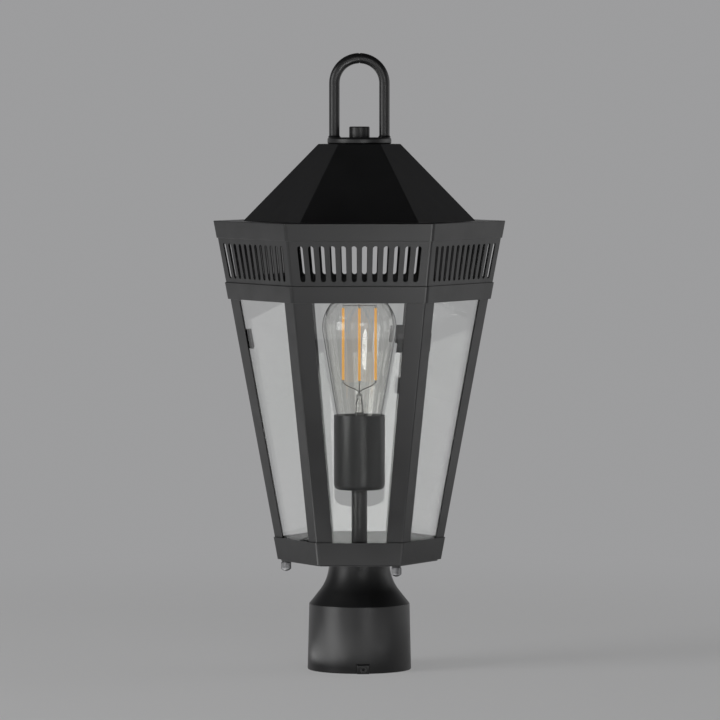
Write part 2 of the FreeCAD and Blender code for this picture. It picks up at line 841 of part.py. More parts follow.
def make_roof():
    """Hexagonal roof: a sheet frustum with a flat top."""
    body = body_named("roof")
    inner_top = "(roof_top - sheet)"
    run = "((roof_foot_apothem - roof_head_apothem) / roof_height)"
    loft(body, [("rim_top", [hexagon("roof_foot_apothem", "fold_radius")]),
                ("roof_top", [hexagon("roof_head_apothem", "fold_radius")])])
    loft(body, [("rim_top", [hexagon("(roof_foot_apothem - roof_wall)", "(fold_radius - sheet)")]),
                (inner_top, [hexagon(f"(roof_head_apothem - roof_wall + sheet * {run})",
                                     "(fold_radius - sheet)")])], kind="SubtractiveLoft")
    prism(body, "roof_top", [], "sheet * 2", [("0", "0", "loop_bolt_radius + thread_clearance")], kind="Pocket")
    return body


def make_clip(index, angle):
    """Spring clip that spans a corner and presses the edges of two panes against the post."""
    body = body_named(f"glass_clip_{index}")
    sections = []
    low = "(plate_top + clip_height_above_foot)"
    high = f"({low} + clip_width)"
    for level in (low, high):
        apothem = cage_apothem(level, "-sheet - glass_gap * 2 - glass_thickness")
        tip = f"({apothem} / cos(30))"
        thin = "(clip_sheet / cos(30))"
        ends = []
        for side in (1, -1):
            ends.append((f"{tip} - clip_wing / 2", f"{side} * clip_wing * cos(30)"))
            ends.append((f"{tip} - clip_wing / 2 - clip_sheet * cos(30)",
                         f"{side} * (clip_wing * cos(30) - clip_sheet / 2)"))
        sections.append((level, [[
            (tip, "0"), ends[0], ends[1], (f"{tip} - {thin}", "0"), ends[3], ends[2],
        ]]))
    loft(body, sections)
    middle = f"({low} + clip_width / 2)"
    sketch = sketch_on(body, "YZ_Plane")
    circle_at(sketch, "0", middle, "rivet_radius + seam")
    feature(body, "Pocket", Profile=sketch, Reversed=True, Length="plate_radius * 3")
    turned(body, angle)
    return body


def make_clip_rivets():
    """One rivet per clip, from the post's inner bend to a head on the clip."""
    rivets = []
    middle = "(plate_top + clip_height_above_foot + clip_width / 2)"
    post_inside = f"({cage_apothem(middle, '-sheet')} / cos(30))"
    clip_inside = f"({cage_apothem(middle, '-sheet - glass_gap * 2 - glass_thickness - clip_sheet')} / cos(30))"
    head_seat = f"({clip_inside} - (rivet_head_radius + seam) * (tan(30) + tan(cage_taper)))"
    for index, angle in enumerate(CLAMP_CORNERS, 1):
        inward = FreeCAD.Rotation(FreeCAD.Vector(0, 0, 1), FreeCAD.Vector(
            -math.cos(math.radians(angle)), -math.sin(math.radians(angle)), 0))
        shank_start = f"({post_inside} - fold_radius)"
        places = []
        for reach in (shank_start, head_seat):
            places.append((f"{reach} * cos({angle})", f"{reach} * sin({angle})", middle))
        shank = solid_part(f"rivet_shank_{index}", "Cylinder", place=places[0], turn=inward,
                           Radius="rivet_radius", Height=f"{shank_start} - {head_seat} + seam")
        head = solid_part(f"rivet_head_{index}", "Cylinder", place=places[1], turn=inward,
                          Radius="rivet_head_radius", Height="rivet_head_height")
        whole = doc.addObject("Part::MultiFuse", f"rivet_{index}")
        whole.Shapes = [shank, head]
        rivets.append(whole)
    return join("clip_rivets", "Compound", rivets)


# ---------------------------------------------------------------- hanging loop

def make_loop_plate():
    body = body_named("loop_plate")
    prism(body, "roof_top", [], "loop_plate_thickness",
          [("0", "0", "loop_plate_radius"), ("0", "0", "loop_bolt_radius + thread_clearance")])
    top = edge_at("loop_plate_top", "loop_plate_radius")
    foot = edge_at("roof_top", "loop_plate_radius")
    round_edges(body, "loop_plate_round", lambda edge: top(edge) or foot(edge))
    return body


def make_hanging_loop():
    """Round rod bent to a loop, its two legs welded on the plate."""
    body = body_named("hanging_loop")
    path = sketch_on(body, "XZ_Plane")
    legs = []
    for side in (1, -1):
        line = path.addGeometry(Part.LineSegment(
            FreeCAD.Vector(side * number("loop_radius"), number("loop_plate_top"), 0),
            FreeCAD.Vector(side * number("loop_radius"), number("loop_centre"), 0)))
        pin_down(path, line, 1, f"{side} * loop_radius", "loop_plate_top")
        pin_down(path, line, 2, f"{side} * loop_radius", "loop_centre")
        legs.append(line)
    bend = path.addGeometry(Part.ArcOfCircle(
        Part.Circle(FreeCAD.Vector(0, number("loop_centre"), 0), FreeCAD.Vector(0, 0, 1), number("loop_radius")),
        0, math.pi))
    path.addConstraint(Sketcher.Constraint("Coincident", legs[0], 2, bend, 1))
    path.addConstraint(Sketcher.Constraint("Coincident", legs[1], 2, bend, 2))
    fix_centre(path, bend, ("loop_radius", "loop_centre"), ("-loop_radius", "loop_centre"))
    section = sketch_on(body, "XY_Plane", "loop_plate_top")
    circle_at(section, "loop_radius", "0", "loop_rod_radius")
    feature(body, "AdditivePipe", Profile=section, Spine=(path, ["Edge1", "Edge2", "Edge3"]))
    return body


def make_finial_nut():
    body = body_named("finial_nut")
    hollow = "(loop_plate_top + loop_bolt_grip)"
    revolve(body, [
        ("loop_bolt_radius + thread_clearance", "loop_plate_top"),
        ("finial_nut_radius", "loop_plate_top"),
        ("finial_nut_radius", "loop_plate_top + finial_nut_height - finial_nut_round",
         "finial_nut_round", True),
        ("finial_nut_radius - finial_nut_round", "loop_plate_top + finial_nut_height"),
        ("0", "loop_plate_top + finial_nut_height"),
        ("0", hollow),
        ("loop_bolt_radius + thread_clearance", hollow),
    ])
    return body


def make_loop_bolt():
    """Bolt up through the roof and the loop plate into the finial nut."""
    body = body_named("loop_bolt")
    head_top = "(roof_top - sheet)"
    prism(body, f"{head_top} - loop_bolt_head_height", [hexagon("loop_bolt_head_radius")],
          "loop_bolt_head_height")
    prism(body, head_top, [], f"loop_plate_top - {head_top} + loop_bolt_grip - seam",
          [("0", "0", "loop_bolt_radius")])
    return body


# ---------------------------------------------------------------- knurled nuts

def make_stud(index, angle):
    """Weld stud that hangs from the ring's flange through the base plate."""
    body = body_named(f"cage_stud_{index}")
    spot = (f"stud_circle * cos({angle})", f"stud_circle * sin({angle})", "stud_radius")
    prism(body, "plate_top + sheet - stud_length", [], "stud_length", [spot])
    return body


def make_knob_washer(index, angle):
    body = body_named(f"knob_washer_{index}")
    spot = (f"stud_circle * cos({angle})", f"stud_circle * sin({angle})")
    prism(body, "fitter_top - knob_washer_thickness", [], "knob_washer_thickness",
          [spot + ("knob_washer_radius",), spot + ("stud_radius + stud_hole_gap",)])
    return body


def make_thumb_nut(index, angle):
    """Knurled nut with a closed, domed foot."""
    body = body_named(f"thumb_nut_{index}")
    top = "(-knob_washer_thickness)"
    foot = f"({top} - knob_height)"
    bore = "(stud_radius + knob_bore_clearance)"
    bore_end = "(plate_thickness + sheet - stud_length - knob_end_gap)"
    groove = "(knob_radius - knob_knurl)"
    revolve(body, [
        (bore, top),
        (groove, top),
        ("knob_radius", f"{top} - knob_knurl"),
        ("knob_radius", f"{foot} + knob_knurl"),
        (groove, foot),
        ("knob_foot_radius", f"{foot} - knob_dome"),
        ("0", f"{foot} - knob_dome"),
        ("0", bore_end),
        (bore, bore_end),
    ])
    groove_sketch = sketch_on(body, "XY_Plane", foot)
    circle_at(groove_sketch, "knob_radius", "0", "knob_knurl")
    cut = feature(body, "Pocket", Profile=groove_sketch, Reversed=True, Length="knob_height")
    around(body, [cut], int(SIZES["knob_ridges"]))
    body.setExpression("Placement.Base.x", bind(f"stud_circle * cos({angle})"))
    body.setExpression("Placement.Base.y", bind(f"stud_circle * sin({angle})"))
    body.setExpression("Placement.Base.z", bind("fitter_top"))
    return body


def build():
    make_post_fitter()
    for index, turn in enumerate(SCREW_TURNS, 1):
        make_set_screw(index, turn)
    tube("nipple", "fitter_top - nipple_reach_below - fitter_web",
         "holder_foot + nipple_reach_above - fitter_top + nipple_reach_below + fitter_web",
         "nipple_radius", "nipple_bore")
    make_locknut()
    tube("locknut_washer", "fitter_top - fitter_web - locknut_washer_thickness", "locknut_washer_thickness",
         "locknut_washer_radius", "nipple_radius + thread_clearance")
    make_base_plate()
    tube("stem_tube", "plate_top", "stem_length", "stem_radius", "nipple_radius + thread_clearance")
    make_socket_cup()
    make_holder()
    make_screw_shell()
    make_centre_contact()
    make_lamp_base()
    make_bulb()
    make_lamp_mount()
    make_filaments()
    make_bottom_ring()
    for index in range(1, FACES + 1):
        make_corner_post(index)
        make_glass_panel(index)
    make_gallery()
    make_lower_band()
    make_upper_rim()
    make_roof()
    for index, angle in enumerate(CLAMP_CORNERS, 1):
        make_clip(index, angle)
        make_stud(index, angle)
        make_knob_washer(index, angle)
        make_thumb_nut(index, angle)
    make_clip_rivets()
    make_loop_plate()
    make_hanging_loop()
    make_finial_nut()
    make_loop_bolt()


def export():
    """Check every object, then write one STEP file per sub-part."""
    doc.recompute()
    for item in doc.Objects:
        if any(word in item.State for word in ("Invalid", "Error")):
            raise ValueError(f"{item.Label} is in state {item.State}")
    for item in ORDER:
        if item.Shape.isNull() or not item.Shape.isValid() or not item.Shape.Solids:
            raise ValueError(f"{item.Label} has no valid solid")
    os.makedirs("parts", exist_ok=True)
    for item in ORDER:
        item.Shape.exportStep(f"parts/{item.Label}.step")
        print(f"{item.Label}: {len(item.Shape.Solids)} solid(s), {item.Shape.Volume:.1f} mm3")


build()
export()
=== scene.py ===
"""Looks of the hexagonal post top lantern: satin black sheet metal, clear panes and a filament lamp.

Metres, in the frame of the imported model: +Z up, the front face looks along -Y, corners on +X and -X.
"""
import json
import math
import bmesh
import bpy
from mathutils import Matrix, Vector


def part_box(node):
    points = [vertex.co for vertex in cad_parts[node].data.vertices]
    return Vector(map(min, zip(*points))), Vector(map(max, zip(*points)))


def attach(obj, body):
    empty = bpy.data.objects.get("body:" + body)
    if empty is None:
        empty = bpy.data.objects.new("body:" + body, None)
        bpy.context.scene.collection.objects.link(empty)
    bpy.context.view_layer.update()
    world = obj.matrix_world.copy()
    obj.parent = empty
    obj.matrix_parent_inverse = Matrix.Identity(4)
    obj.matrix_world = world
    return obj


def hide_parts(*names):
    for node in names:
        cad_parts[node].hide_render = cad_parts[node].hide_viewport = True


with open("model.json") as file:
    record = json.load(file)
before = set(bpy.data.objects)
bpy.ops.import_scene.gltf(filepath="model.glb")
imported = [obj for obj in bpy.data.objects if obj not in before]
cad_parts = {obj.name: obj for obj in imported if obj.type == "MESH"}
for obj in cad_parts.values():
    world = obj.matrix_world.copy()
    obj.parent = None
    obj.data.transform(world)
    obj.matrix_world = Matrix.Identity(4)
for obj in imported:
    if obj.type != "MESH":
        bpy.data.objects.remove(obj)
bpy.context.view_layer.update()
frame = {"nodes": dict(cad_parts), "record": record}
MM = 0.001
RECORD = frame["record"]
NODES = frame["nodes"]

# ---------------------------------------------------------------- camera, from the photograph's framing
SENSOR_MM = 36.0
LENS_MM = 275.0
CAMERA_DISTANCE = 4.51
CAMERA_HEIGHT = 0.481
AIM = Vector((0.0005, 0.0, 0.2543))


def placed(name, data):
    """A new object with its data, linked into the scene."""
    made = bpy.data.objects.new(name, data)
    bpy.context.collection.objects.link(made)
    return made


def looking(way):
    """Rotation of a camera or a light that looks along a direction."""
    return Vector(way).to_track_quat("-Z", "Y").to_euler()


def make_camera():
    """A long lens a little above the lantern's middle, as the photograph was taken."""
    data = bpy.data.cameras.new("camera")
    data.lens = LENS_MM
    data.sensor_width = SENSOR_MM
    camera = placed("camera", data)
    camera.location = (AIM.x, -CAMERA_DISTANCE, CAMERA_HEIGHT)
    camera.rotation_euler = looking(AIM - camera.location)
    bpy.context.scene.camera = camera


# ---------------------------------------------------------------- sizes, with angles in degrees
SLOTS = {part["node"]: part["material_slot"] for part in RECORD["subparts"]}
BODY_OF = {node: body for body, nodes in RECORD["behaviour"]["bodies"].items() for node in nodes}
TOP = {node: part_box(node)[1].z for node in NODES}

# clips, screws and knurled nuts come in threes, on a cage of six faces
TRIPLES = (1, 2, 3)
FACES = 6
FACE_TURN = math.radians(360 / FACES)
HALF_FACE_TURN = math.radians(180 / FACES)

# points closer than this are one point
WELD = 0.002 * MM

# folded sheet of the cage, and the clearance between one sheet and the next
SHEET = 1.0 * MM
SEAM = 0.04 * MM
FOLD_RADIUS = 1.9 * MM
CAGE_FOOT_APOTHEM = 57.55 * MM
CAGE_TAPER = 9.1
PLATE_TOP = TOP["base_plate"]

# post fitter and its set screws, whose bosses stand less proud here than on the solids: the screws are
# brought in until their keyed ends lie SCREW_SHY under the bosses' faces
POST_BORE = 39.0 * MM
BORE_DEPTH = 50.0 * MM
LEDGE = 3.6 * MM
COLLAR_FOOT = 42.6 * MM
COLLAR_HEAD = 41.3 * MM
COLLAR_HEIGHT = 54.1 * MM
NECK_RADIUS = 25.0 * MM
NECK_WALL = 3.2 * MM
NECK_SWEEP = 36.3 * MM
NECK_SLOPE = 38.5
NECK_LAND = 1.85 * MM
WEB = 4.0 * MM
NIPPLE_HOLE = 4.86 * MM
COLLAR_FOOT_ROUND = 0.7 * MM
COLLAR_HEAD_ROUND = 1.1 * MM
CAST_ROUND = 0.5 * MM
NECK_STEPS = 12
BOSS_WIDTH = 11.5 * MM
BOSS_HEIGHT = 8.2 * MM
BOSS_REACH = 2.4 * MM
BOSS_DRAFT = 16.0
BOSS_SINK = 1.8 * MM
BOSS_HEAD_DROP = 0.8 * MM
BOSS_ROUND = 0.7 * MM
SCREW_HOLE = 2.56 * MM
SCREW_SHY = 0.2 * MM
SCREW_KEY_DEPTH = 2.5 * MM

# stem and socket cup
CUP_WALL = 0.9 * MM
CUP_ROUND = 4.5 * MM
CUP_LIP_ROUND = 0.3 * MM
STEM_ROUND = 0.4 * MM

# blown envelope of the lamp, from its neck in the screw cap to its crown
LAMP_BASE_TOP = TOP["lamp_base"]
BULB_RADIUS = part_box("lamp_bulb")[1].x
BULB_CENTRE = TOP["lamp_bulb"] - BULB_RADIUS
BULB_NECK = 12.5 * MM
BULB_NECK_TUCK = 4.0 * MM
BULB_NECK_LAND = 1.0 * MM
BULB_SHOULDER = 18.6 * MM
BULB_SHOULDER_RISE = 14.6 * MM
BULB_NECK_EASE = 0.55
BULB_WALL = 1.0 * MM
BULB_NECK_STEPS = 10
BULB_CONE_STEPS = 9
BULB_CROWN_STEPS = 32

# filaments, their tabs and wires
STICKS = 4
STICK_RADIUS = 1.05 * MM
STICK_ROUND = 0.5 * MM
TAB = 2.4 * MM
TAB_LAP = 0.6 * MM
TAB_RADIUS = 0.75 * MM
WIRE_RADIUS = 0.4 * MM
WIRE_SPREAD = 1.2 * MM
WIRE_TUCK = 2.0 * MM
WIRE_RISE = 2.5 * MM
WIRE_SAG = 0.8 * MM
WIRE_SAG_AT = 0.7
WIRE_STEPS = 18
WIRE_SIDES = 8
TOP_WIRE_RADIUS = 0.32 * MM
TOP_WIRE_DROP = 0.48 * MM

# glass mount of the filaments: flared foot, shoulder, waist, tip and the pinch at its top; the shoulder's
# drop is from the screw cap's top, and those of the waist and the tip are from the mount's own
MOUNT_FLARE_RISE = 1.2 * MM
MOUNT_FLARE_SHARE = 0.93
MOUNT_SHOULDER = 4.83 * MM
MOUNT_SHOULDER_DROP = 3.0 * MM
MOUNT_WAIST = 3.36 * MM
MOUNT_WAIST_DROP = 9.0 * MM
MOUNT_TIP = 2.4 * MM
MOUNT_TIP_DROP = 4.2 * MM
PINCH_LENGTH = 6.0 * MM
PINCH_RUN = 3.0 * MM
PINCH_DEPTH = 0.45

# slots of the gallery band, fanned as if about a point SLOT_FAN_REACH below the middle of the slots
SLOTS_PER_FACE = 12
SLOT_PITCH = 8.46 * MM
SLOT_WIDTH = 4.2 * MM
SLOT_LENGTH = 29.0 * MM
SLOT_FOOT_LEVEL = TOP["lower_band"] + 3.4 * MM
SLOT_FAN_REACH = 458.0 * MM
SLOT_END_STEPS = 5
BEND_STEPS = 9

# loop plate and finial nut
PLATE_FOOT_ROUND = 1.3 * MM
PLATE_HEAD_ROUND = 1.7 * MM
NUT_FOOT_ROUND = 0.3 * MM
NUT_HEAD_ROUND = 0.9 * MM

# hanging loop: where its legs are cut into lengths, the notch at its crown, and the bead welded round each
# leg's foot as (share of the rod's radius, rise in mm, rounding in mm)
LEG_CUTS = (0.0, 0.25, 0.6)
CROWN_STEPS = 72
LOOP_SIDES = 28
LOOP_SEAM = 0.45 * MM
WELD_BEAD = ((1.27, 0.0, 0.3), (1.12, 0.9, 0.3), (0.98, 1.7, 0.0), (0.0, 1.7, 0.0))

# knurled nuts, made from a cylinder of unit height: the knurling reaches KNOB_KNURLED_HALF from its middle,
# and points below KNOB_FOOT_LEVEL are its foot
KNOB_DOME = 1.8 * MM
KNOB_KNURL = 0.28 * MM
KNOB_RIDGES = 24
KNOB_POINTS_PER_RIDGE = 6
KNOB_ROWS = 8
KNOB_RINGS = 5
KNOB_KNURLED_HALF = 0.44
KNOB_RIDGE_POWER = 0.6
KNOB_FOOT_LEVEL = -0.499

# width of the eased edges of each kind of part, those of the large sheet parts in mm
SHEET_EDGES = {"bottom_ring": 0.45, "lower_band": 0.4, "upper_rim": 0.45, "roof": 0.6, "base_plate": 0.4}
POST_AND_PANE_EDGE = 0.3 * MM
CLIP_EDGE = 0.15 * MM
SMALL_METAL_EDGE = 0.2 * MM

# edges that bend by more than EASED_ABOVE are eased, and faces within FLAT_WITHIN of each other are one
EASED_ABOVE = 28.0
FLAT_WITHIN = 0.5


def cage_apothem(level, outset):
    """Distance from the axis, square to a face, of a sheet that lies outset from the cage's wall."""
    return CAGE_FOOT_APOTHEM + (level - PLATE_TOP) * math.tan(math.radians(CAGE_TAPER)) + outset


# ---------------------------------------------------------------- node trees and finishes
# a noise is near 0.5 for the most part, so its tones are blended over this middle of its range
NOISE_MIDDLE = (0.35, 0.65)


class Tree:
    """A node tree that is written step by step."""

    def __init__(self, tree):
        self.tree = tree

    def put(self, socket, value):
        """Feed a socket from another one, or set its value."""
        if isinstance(value, bpy.types.NodeSocket):
            self.tree.links.new(value, socket)
        else:
            socket.default_value = value

    def whole(self, kind, *inputs, **settings):
        """Add a node; inputs are fed in order, or by name as pairs."""
        made = self.tree.nodes.new(kind)
        for key, value in settings.items():
            setattr(made, key, value)
        for index, value in enumerate(inputs):
            if isinstance(value, tuple) and isinstance(value[0], str):
                self.put(made.inputs[value[0]], value[1])
            else:
                self.put(made.inputs[index], value)
        return made

    def node(self, kind, *inputs, **settings):
        """Add a node in the same way and return its first output."""
        return self.whole(kind, *inputs, **settings).outputs[0]

    def math(self, operation, *values):
        """A number worked out from others."""
        return self.node("ShaderNodeMath", *values, operation=operation)

    def rise(self, value, start, end):
        """A soft rise from 0 to 1 while a number goes from start to end."""
        return self.node("ShaderNodeMapRange", ("Value", value), ("From Min", start), ("From Max", end),
                         interpolation_type="SMOOTHSTEP")

    def rays(self, *kinds):
        """1 for rays of any of these kinds and 0 for the light that falls on things."""
        paths = self.whole("ShaderNodeLightPath").outputs
        total = paths[kinds[0]]
        for kind in kinds[1:]:
            total = self.math("MAXIMUM", total, paths[kind])
        return total


class Shader(Tree):
    """A node material with a Principled surface, drawn in object coordinates."""

    def __init__(self, name):
        self.material = bpy.data.materials.new(name)
        self.material.use_nodes = True
        super().__init__(self.material.node_tree)
        self.surface = self.tree.nodes["Principled BSDF"]
        self.place = self.whole("ShaderNodeTexCoord").outputs["Object"]

    def noise(self, scale, detail=2.0, roughness=0.5, stretch=None):
        """Soft noise of so many waves per metre, its scale stretched along the axes."""
        place = self.place
        if stretch:
            place = self.node("ShaderNodeMapping", ("Vector", place), ("Scale", stretch))
        return self.whole("ShaderNodeTexNoise", ("Vector", place), ("Scale", scale), ("Detail", detail),
                          ("Roughness", roughness)).outputs["Fac"]

    def ramp(self, source, low, high):
        """A blend between two colours or two grey values over the middle of a noise's range."""
        made = self.whole("ShaderNodeValToRGB", ("Fac", source))
        for element, place, tone in zip(made.color_ramp.elements, NOISE_MIDDLE, (low, high)):
            element.position = place
            element.color = (tone, tone, tone, 1) if isinstance(tone, float) else (*tone, 1)
        return made.outputs["Color"]

    def bump(self, height, distance, strength, under=None):
        """Surface relief, over another relief where one is given."""
        made = self.whole("ShaderNodeBump", ("Height", height), ("Distance", distance),
                          ("Strength", strength))
        if under:
            self.put(made.inputs["Normal"], under)
        return made.outputs["Normal"]

    def set(self, **values):
        """Set or feed inputs of the surface, whose names have underscores for spaces."""
        for key, value in values.items():
            self.put(self.surface.inputs[key.replace("_", " ")], value)


def powder_coat(name, dark, light, rough):
    """Satin powder coat: fine orange peel over a slow change of tone and sheen."""
    shader = Shader(name)
    spread = 0.04
    peel = shader.bump(shader.noise(scale=2200.0), distance=0.02 * MM, strength=0.35)
    shader.set(
        Base_Color=shader.ramp(shader.noise(scale=14.0, detail=3.0), dark, light),
        Roughness=shader.ramp(shader.noise(scale=60.0, detail=4.0), rough - spread, rough + spread),
        Normal=shader.bump(shader.noise(scale=45.0, detail=1.0), distance=0.3 * MM, strength=0.05,
                           under=peel),
        IOR=1.5)
    return shader.material


def clear_glass(name, tint, ripple):
    """Clear glass with the faint waviness of drawn sheet or blown stock, as deep as ripple says."""
    shader = Shader(name)
    shader.set(
        Base_Color=shader.ramp(shader.noise(scale=6.0), tint, (1.0, 1.0, 1.0)),
        Normal=shader.bump(shader.noise(scale=9.0, detail=1.0), distance=ripple, strength=0.3),
        Metallic=0.0, Roughness=0.0, IOR=1.46, Transmission_Weight=1.0)
    return shader.material


def metal(name, dark, light, rough, grain, stretch):
    """Bare or plated metal with fine drawn grain."""
    shader = Shader(name)
    smoother, rougher = 0.06, 0.08
    lines = shader.noise(scale=grain, detail=3.0, roughness=0.6, stretch=stretch)
    shader.set(
        Base_Color=shader.ramp(lines, dark, light),
        Roughness=shader.ramp(shader.noise(scale=200.0, detail=3.0), rough - smoother, rough + rougher),
        Normal=shader.bump(lines, distance=0.05 * MM, strength=0.4),
        Metallic=1.0)
    return shader.material


def moulding(name, dark, light, rough, glow=0.0):
    """Plain moulded stuff, or with a glow the lit look of a phosphor coat."""
    shader = Shader(name)
    spread = 0.05
    shader.set(
        Base_Color=shader.ramp(shader.noise(scale=80.0, detail=3.0), dark, light),
        Roughness=shader.ramp(shader.noise(scale=300.0), rough - spread, rough + spread),
        Normal=shader.bump(shader.noise(scale=1200.0), distance=0.04 * MM, strength=0.4),
        Emission_Color=(*light, 1), Emission_Strength=glow)
    return shader.material


def make_materials():
    """One finish for each material slot of the record.

    Coats and mouldings: darkest and lightest tone, roughness.  Glass: tint, depth of its ripple.
    Metals: darkest and lightest tone, roughness, grain in waves per metre, and how it is drawn out.
    """
    upright = (1, 1, 0.1)
    even = (1, 1, 1)
    finishes = (
        ("black_coat", powder_coat, (0.0035, 0.0035, 0.0037), (0.006, 0.006, 0.0063), 0.36),
        ("pane_glass", clear_glass, (0.975, 0.985, 0.972), 0.06 * MM),
        ("lamp_glass", clear_glass, (0.99, 0.985, 0.965), 0.08 * MM),
        ("holder_moulding", moulding, (0.012, 0.012, 0.012), (0.02, 0.02, 0.02), 0.4),
        ("socket_metal", metal, (0.5, 0.48, 0.44), (0.66, 0.63, 0.58), 0.3, 300.0, upright),
        ("contact_brass", metal, (0.55, 0.38, 0.14), (0.72, 0.53, 0.22), 0.3, 300.0, even),
        ("cap_metal", metal, (0.5, 0.5, 0.5), (0.68, 0.68, 0.67), 0.25, 400.0, upright),
        ("filament_coat", moulding, (0.8, 0.36, 0.05), (0.9, 0.45, 0.08), 0.55, 0.6),
        ("plated_steel", metal, (0.33, 0.33, 0.33), (0.5, 0.5, 0.5), 0.32, 350.0, upright),
        ("screw_steel", metal, (0.05, 0.05, 0.05), (0.1, 0.1, 0.1), 0.4, 350.0, even),
        ("knob_metal", metal, (0.1, 0.1, 0.103), (0.22, 0.22, 0.225), 0.34, 500.0, (1, 1, 0.08)))
    return {name: make(name, *values) for name, make, *values in finishes}


def dress_nodes():
    """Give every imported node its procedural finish."""
    for name, slot in SLOTS.items():
        node = NODES[name]
        for place in node.material_slots:
            place.material = FINISHES[slot]
        if not node.material_slots:
            node.data.materials.append(FINISHES[slot])


# ---------------------------------------------------------------- shaping helpers

def mesh_of(name, vertices, faces):
    """A mesh from points and faces."""
    mesh = bpy.data.meshes.new(name)
    mesh.from_pydata([tuple(v) for v in vertices], [], faces)
    mesh.validate()
    return mesh


def drawn(name, form):
    """The mesh of an edit form, which is freed."""
    mesh = bpy.data.meshes.new(name)
    form.to_mesh(mesh)
    form.free()
    return mesh


def piece(name, mesh, node, crease=32.0):
    """Show a mesh in place of one CAD node, on that node's body and with its finish.

    Edges that bend by more than crease degrees stay sharp; None leaves the shading as it is.
    """
    shown = placed(name, mesh)
    if crease is not None:
        mesh.shade_smooth()
        mesh.set_sharp_from_angle(angle=math.radians(crease))
    mesh.materials.clear()
    mesh.materials.append(FINISHES[SLOTS[node]])
    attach(shown, BODY_OF[node])
    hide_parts(node)


def joined(name, meshes):
    """One mesh from several."""
    form = bmesh.new()
    for mesh in meshes:
        form.from_mesh(mesh)
    return drawn(name, form)


def outward(mesh):
    """Turn every face of a closed mesh outwards."""
    form = bmesh.new()
    form.from_mesh(mesh)
    bmesh.ops.remove_doubles(form, verts=form.verts, dist=WELD)
    bmesh.ops.recalc_face_normals(form, faces=form.faces)
    form.to_mesh(mesh)
    form.free()
    return mesh


def softened_profile(corners, steps=5):
    """Outline through (radius, level, rounding) corners, each rounded by its own radius."""
    points = []
    count = len(corners)
    for index, (across, up, rounding) in enumerate(corners):
        here = Vector((across, up))
        if not rounding:
            points.append(here)
            continue
        before = (Vector(corners[index - 1][:2]) - here).normalized()
        after = (Vector(corners[(index + 1) % count][:2]) - here).normalized()
        half = before.angle(after) / 2
        reach = rounding / math.tan(half)
        centre = here + (before + after).normalized() * (rounding / math.sin(half))
        start = here + before * reach - centre
        end = here + after * reach - centre
        sweep = start.angle_signed(end)
        for step in range(steps + 1):
            turn = -sweep * step / steps
            points.append(centre + Vector((start.x * math.cos(turn) - start.y * math.sin(turn),
                                           start.x * math.sin(turn) + start.y * math.cos(turn))))
    return [(point.x, point.y) for point in points]


def lathe(name, profile, segments=96, centre=(0.0, 0.0), closed=True):
    """Turn an outline of (radius, level) about the axis; points on the axis become poles."""
    vertices = []
    rows = []
    for radius, level in profile:
        if radius < WELD:
            rows.append([len(vertices)])
            vertices.append((centre[0], centre[1], level))
            continue
        rows.append(list(range(len(vertices), len(vertices) + segments)))
        for step in range(segments):
            turn = math.tau * step / segments
            vertices.append((centre[0] + radius * math.cos(turn),
                             centre[1] + radius * math.sin(turn), level))
    faces = []
    pairs = list(zip(rows, rows[1:]))
    if closed:
        pairs.append((rows[-1], rows[0]))
    for lower, upper in pairs:
        if len(lower) == 1 and len(upper) == 1:
            continue
        for step in range(segments):
            following = (step + 1) % segments
            ring = []
            for spot in (lower[step % len(lower)], lower[following % len(lower)],
                         upper[following % len(upper)], upper[step % len(upper)]):
                if spot not in ring:
                    ring.append(spot)
            faces.append(ring)
    return outward(mesh_of(name, vertices, faces))


def pipe(name, path, radii, sides):
    """Round rod along a path, with a radius for each of its points and its ends closed."""
    vertices = []
    faces = []
    side = None
    for index, point in enumerate(path):
        ahead = path[min(index + 1, len(path) - 1)] - path[max(index - 1, 0)]
        ahead.normalize()
        if side is None:
            side = ahead.orthogonal().normalized()
        side = (side - ahead * side.dot(ahead)).normalized()
        other = ahead.cross(side)
        for step in range(sides):
            turn = math.tau * step / sides
            vertices.append(point + (side * math.cos(turn) + other * math.sin(turn)) * radii[index])
    for index in range(len(path) - 1):
        for step in range(sides):
            following = (step + 1) % sides
            faces.append([index * sides + step, index * sides + following,
                          (index + 1) * sides + following, (index + 1) * sides + step])
    faces.append(list(range(sides)))
    faces.append(list(range((len(path) - 1) * sides, len(path) * sides)))
    return outward(mesh_of(name, vertices, faces))


def settled(shown):
    """The mesh of an object with its modifiers worked in; the object goes."""
    bpy.context.view_layer.update()
    graph = bpy.context.evaluated_depsgraph_get()
    mesh = bpy.data.meshes.new_from_object(shown.evaluated_get(graph))
    bpy.data.objects.remove(shown)
    return mesh


def with_modifiers(name, mesh, *modifiers):
    """Work modifiers into a mesh; each is (kind, settings)."""
    shown = placed(name, mesh)
    for kind, settings in modifiers:
        modifier = shown.modifiers.new(kind.lower(), kind)
        for key, value in settings.items():
            setattr(modifier, key, value)
    return settled(shown)


def cad_mesh(node):
    """Welded copy of a CAD node's mesh, its flat faces whole again."""
    form = bmesh.new()
    form.from_mesh(NODES[node].data)
    bmesh.ops.remove_doubles(form, verts=form.verts, dist=WELD)
    bmesh.ops.dissolve_limit(form, angle_limit=math.radians(FLAT_WITHIN), verts=form.verts,
                             edges=form.edges)
    return drawn(node + "_form", form)


def eased(node, width, form=None):
    """A CAD node with its sharp edges eased, as folded or cut sheet has them, and its faces left flat."""
    form = form or cad_mesh(node)
    form.shade_smooth()
    bevel = {"width": width, "segments": 2, "limit_method": "ANGLE",
             "angle_limit": math.radians(EASED_ABOVE)}
    mesh = with_modifiers(node + "_eased", form, ("BEVEL", bevel),
                          ("WEIGHTED_NORMAL", {"weight": 50, "keep_sharp": False}))
    piece(node + "_eased", mesh, node, crease=None)


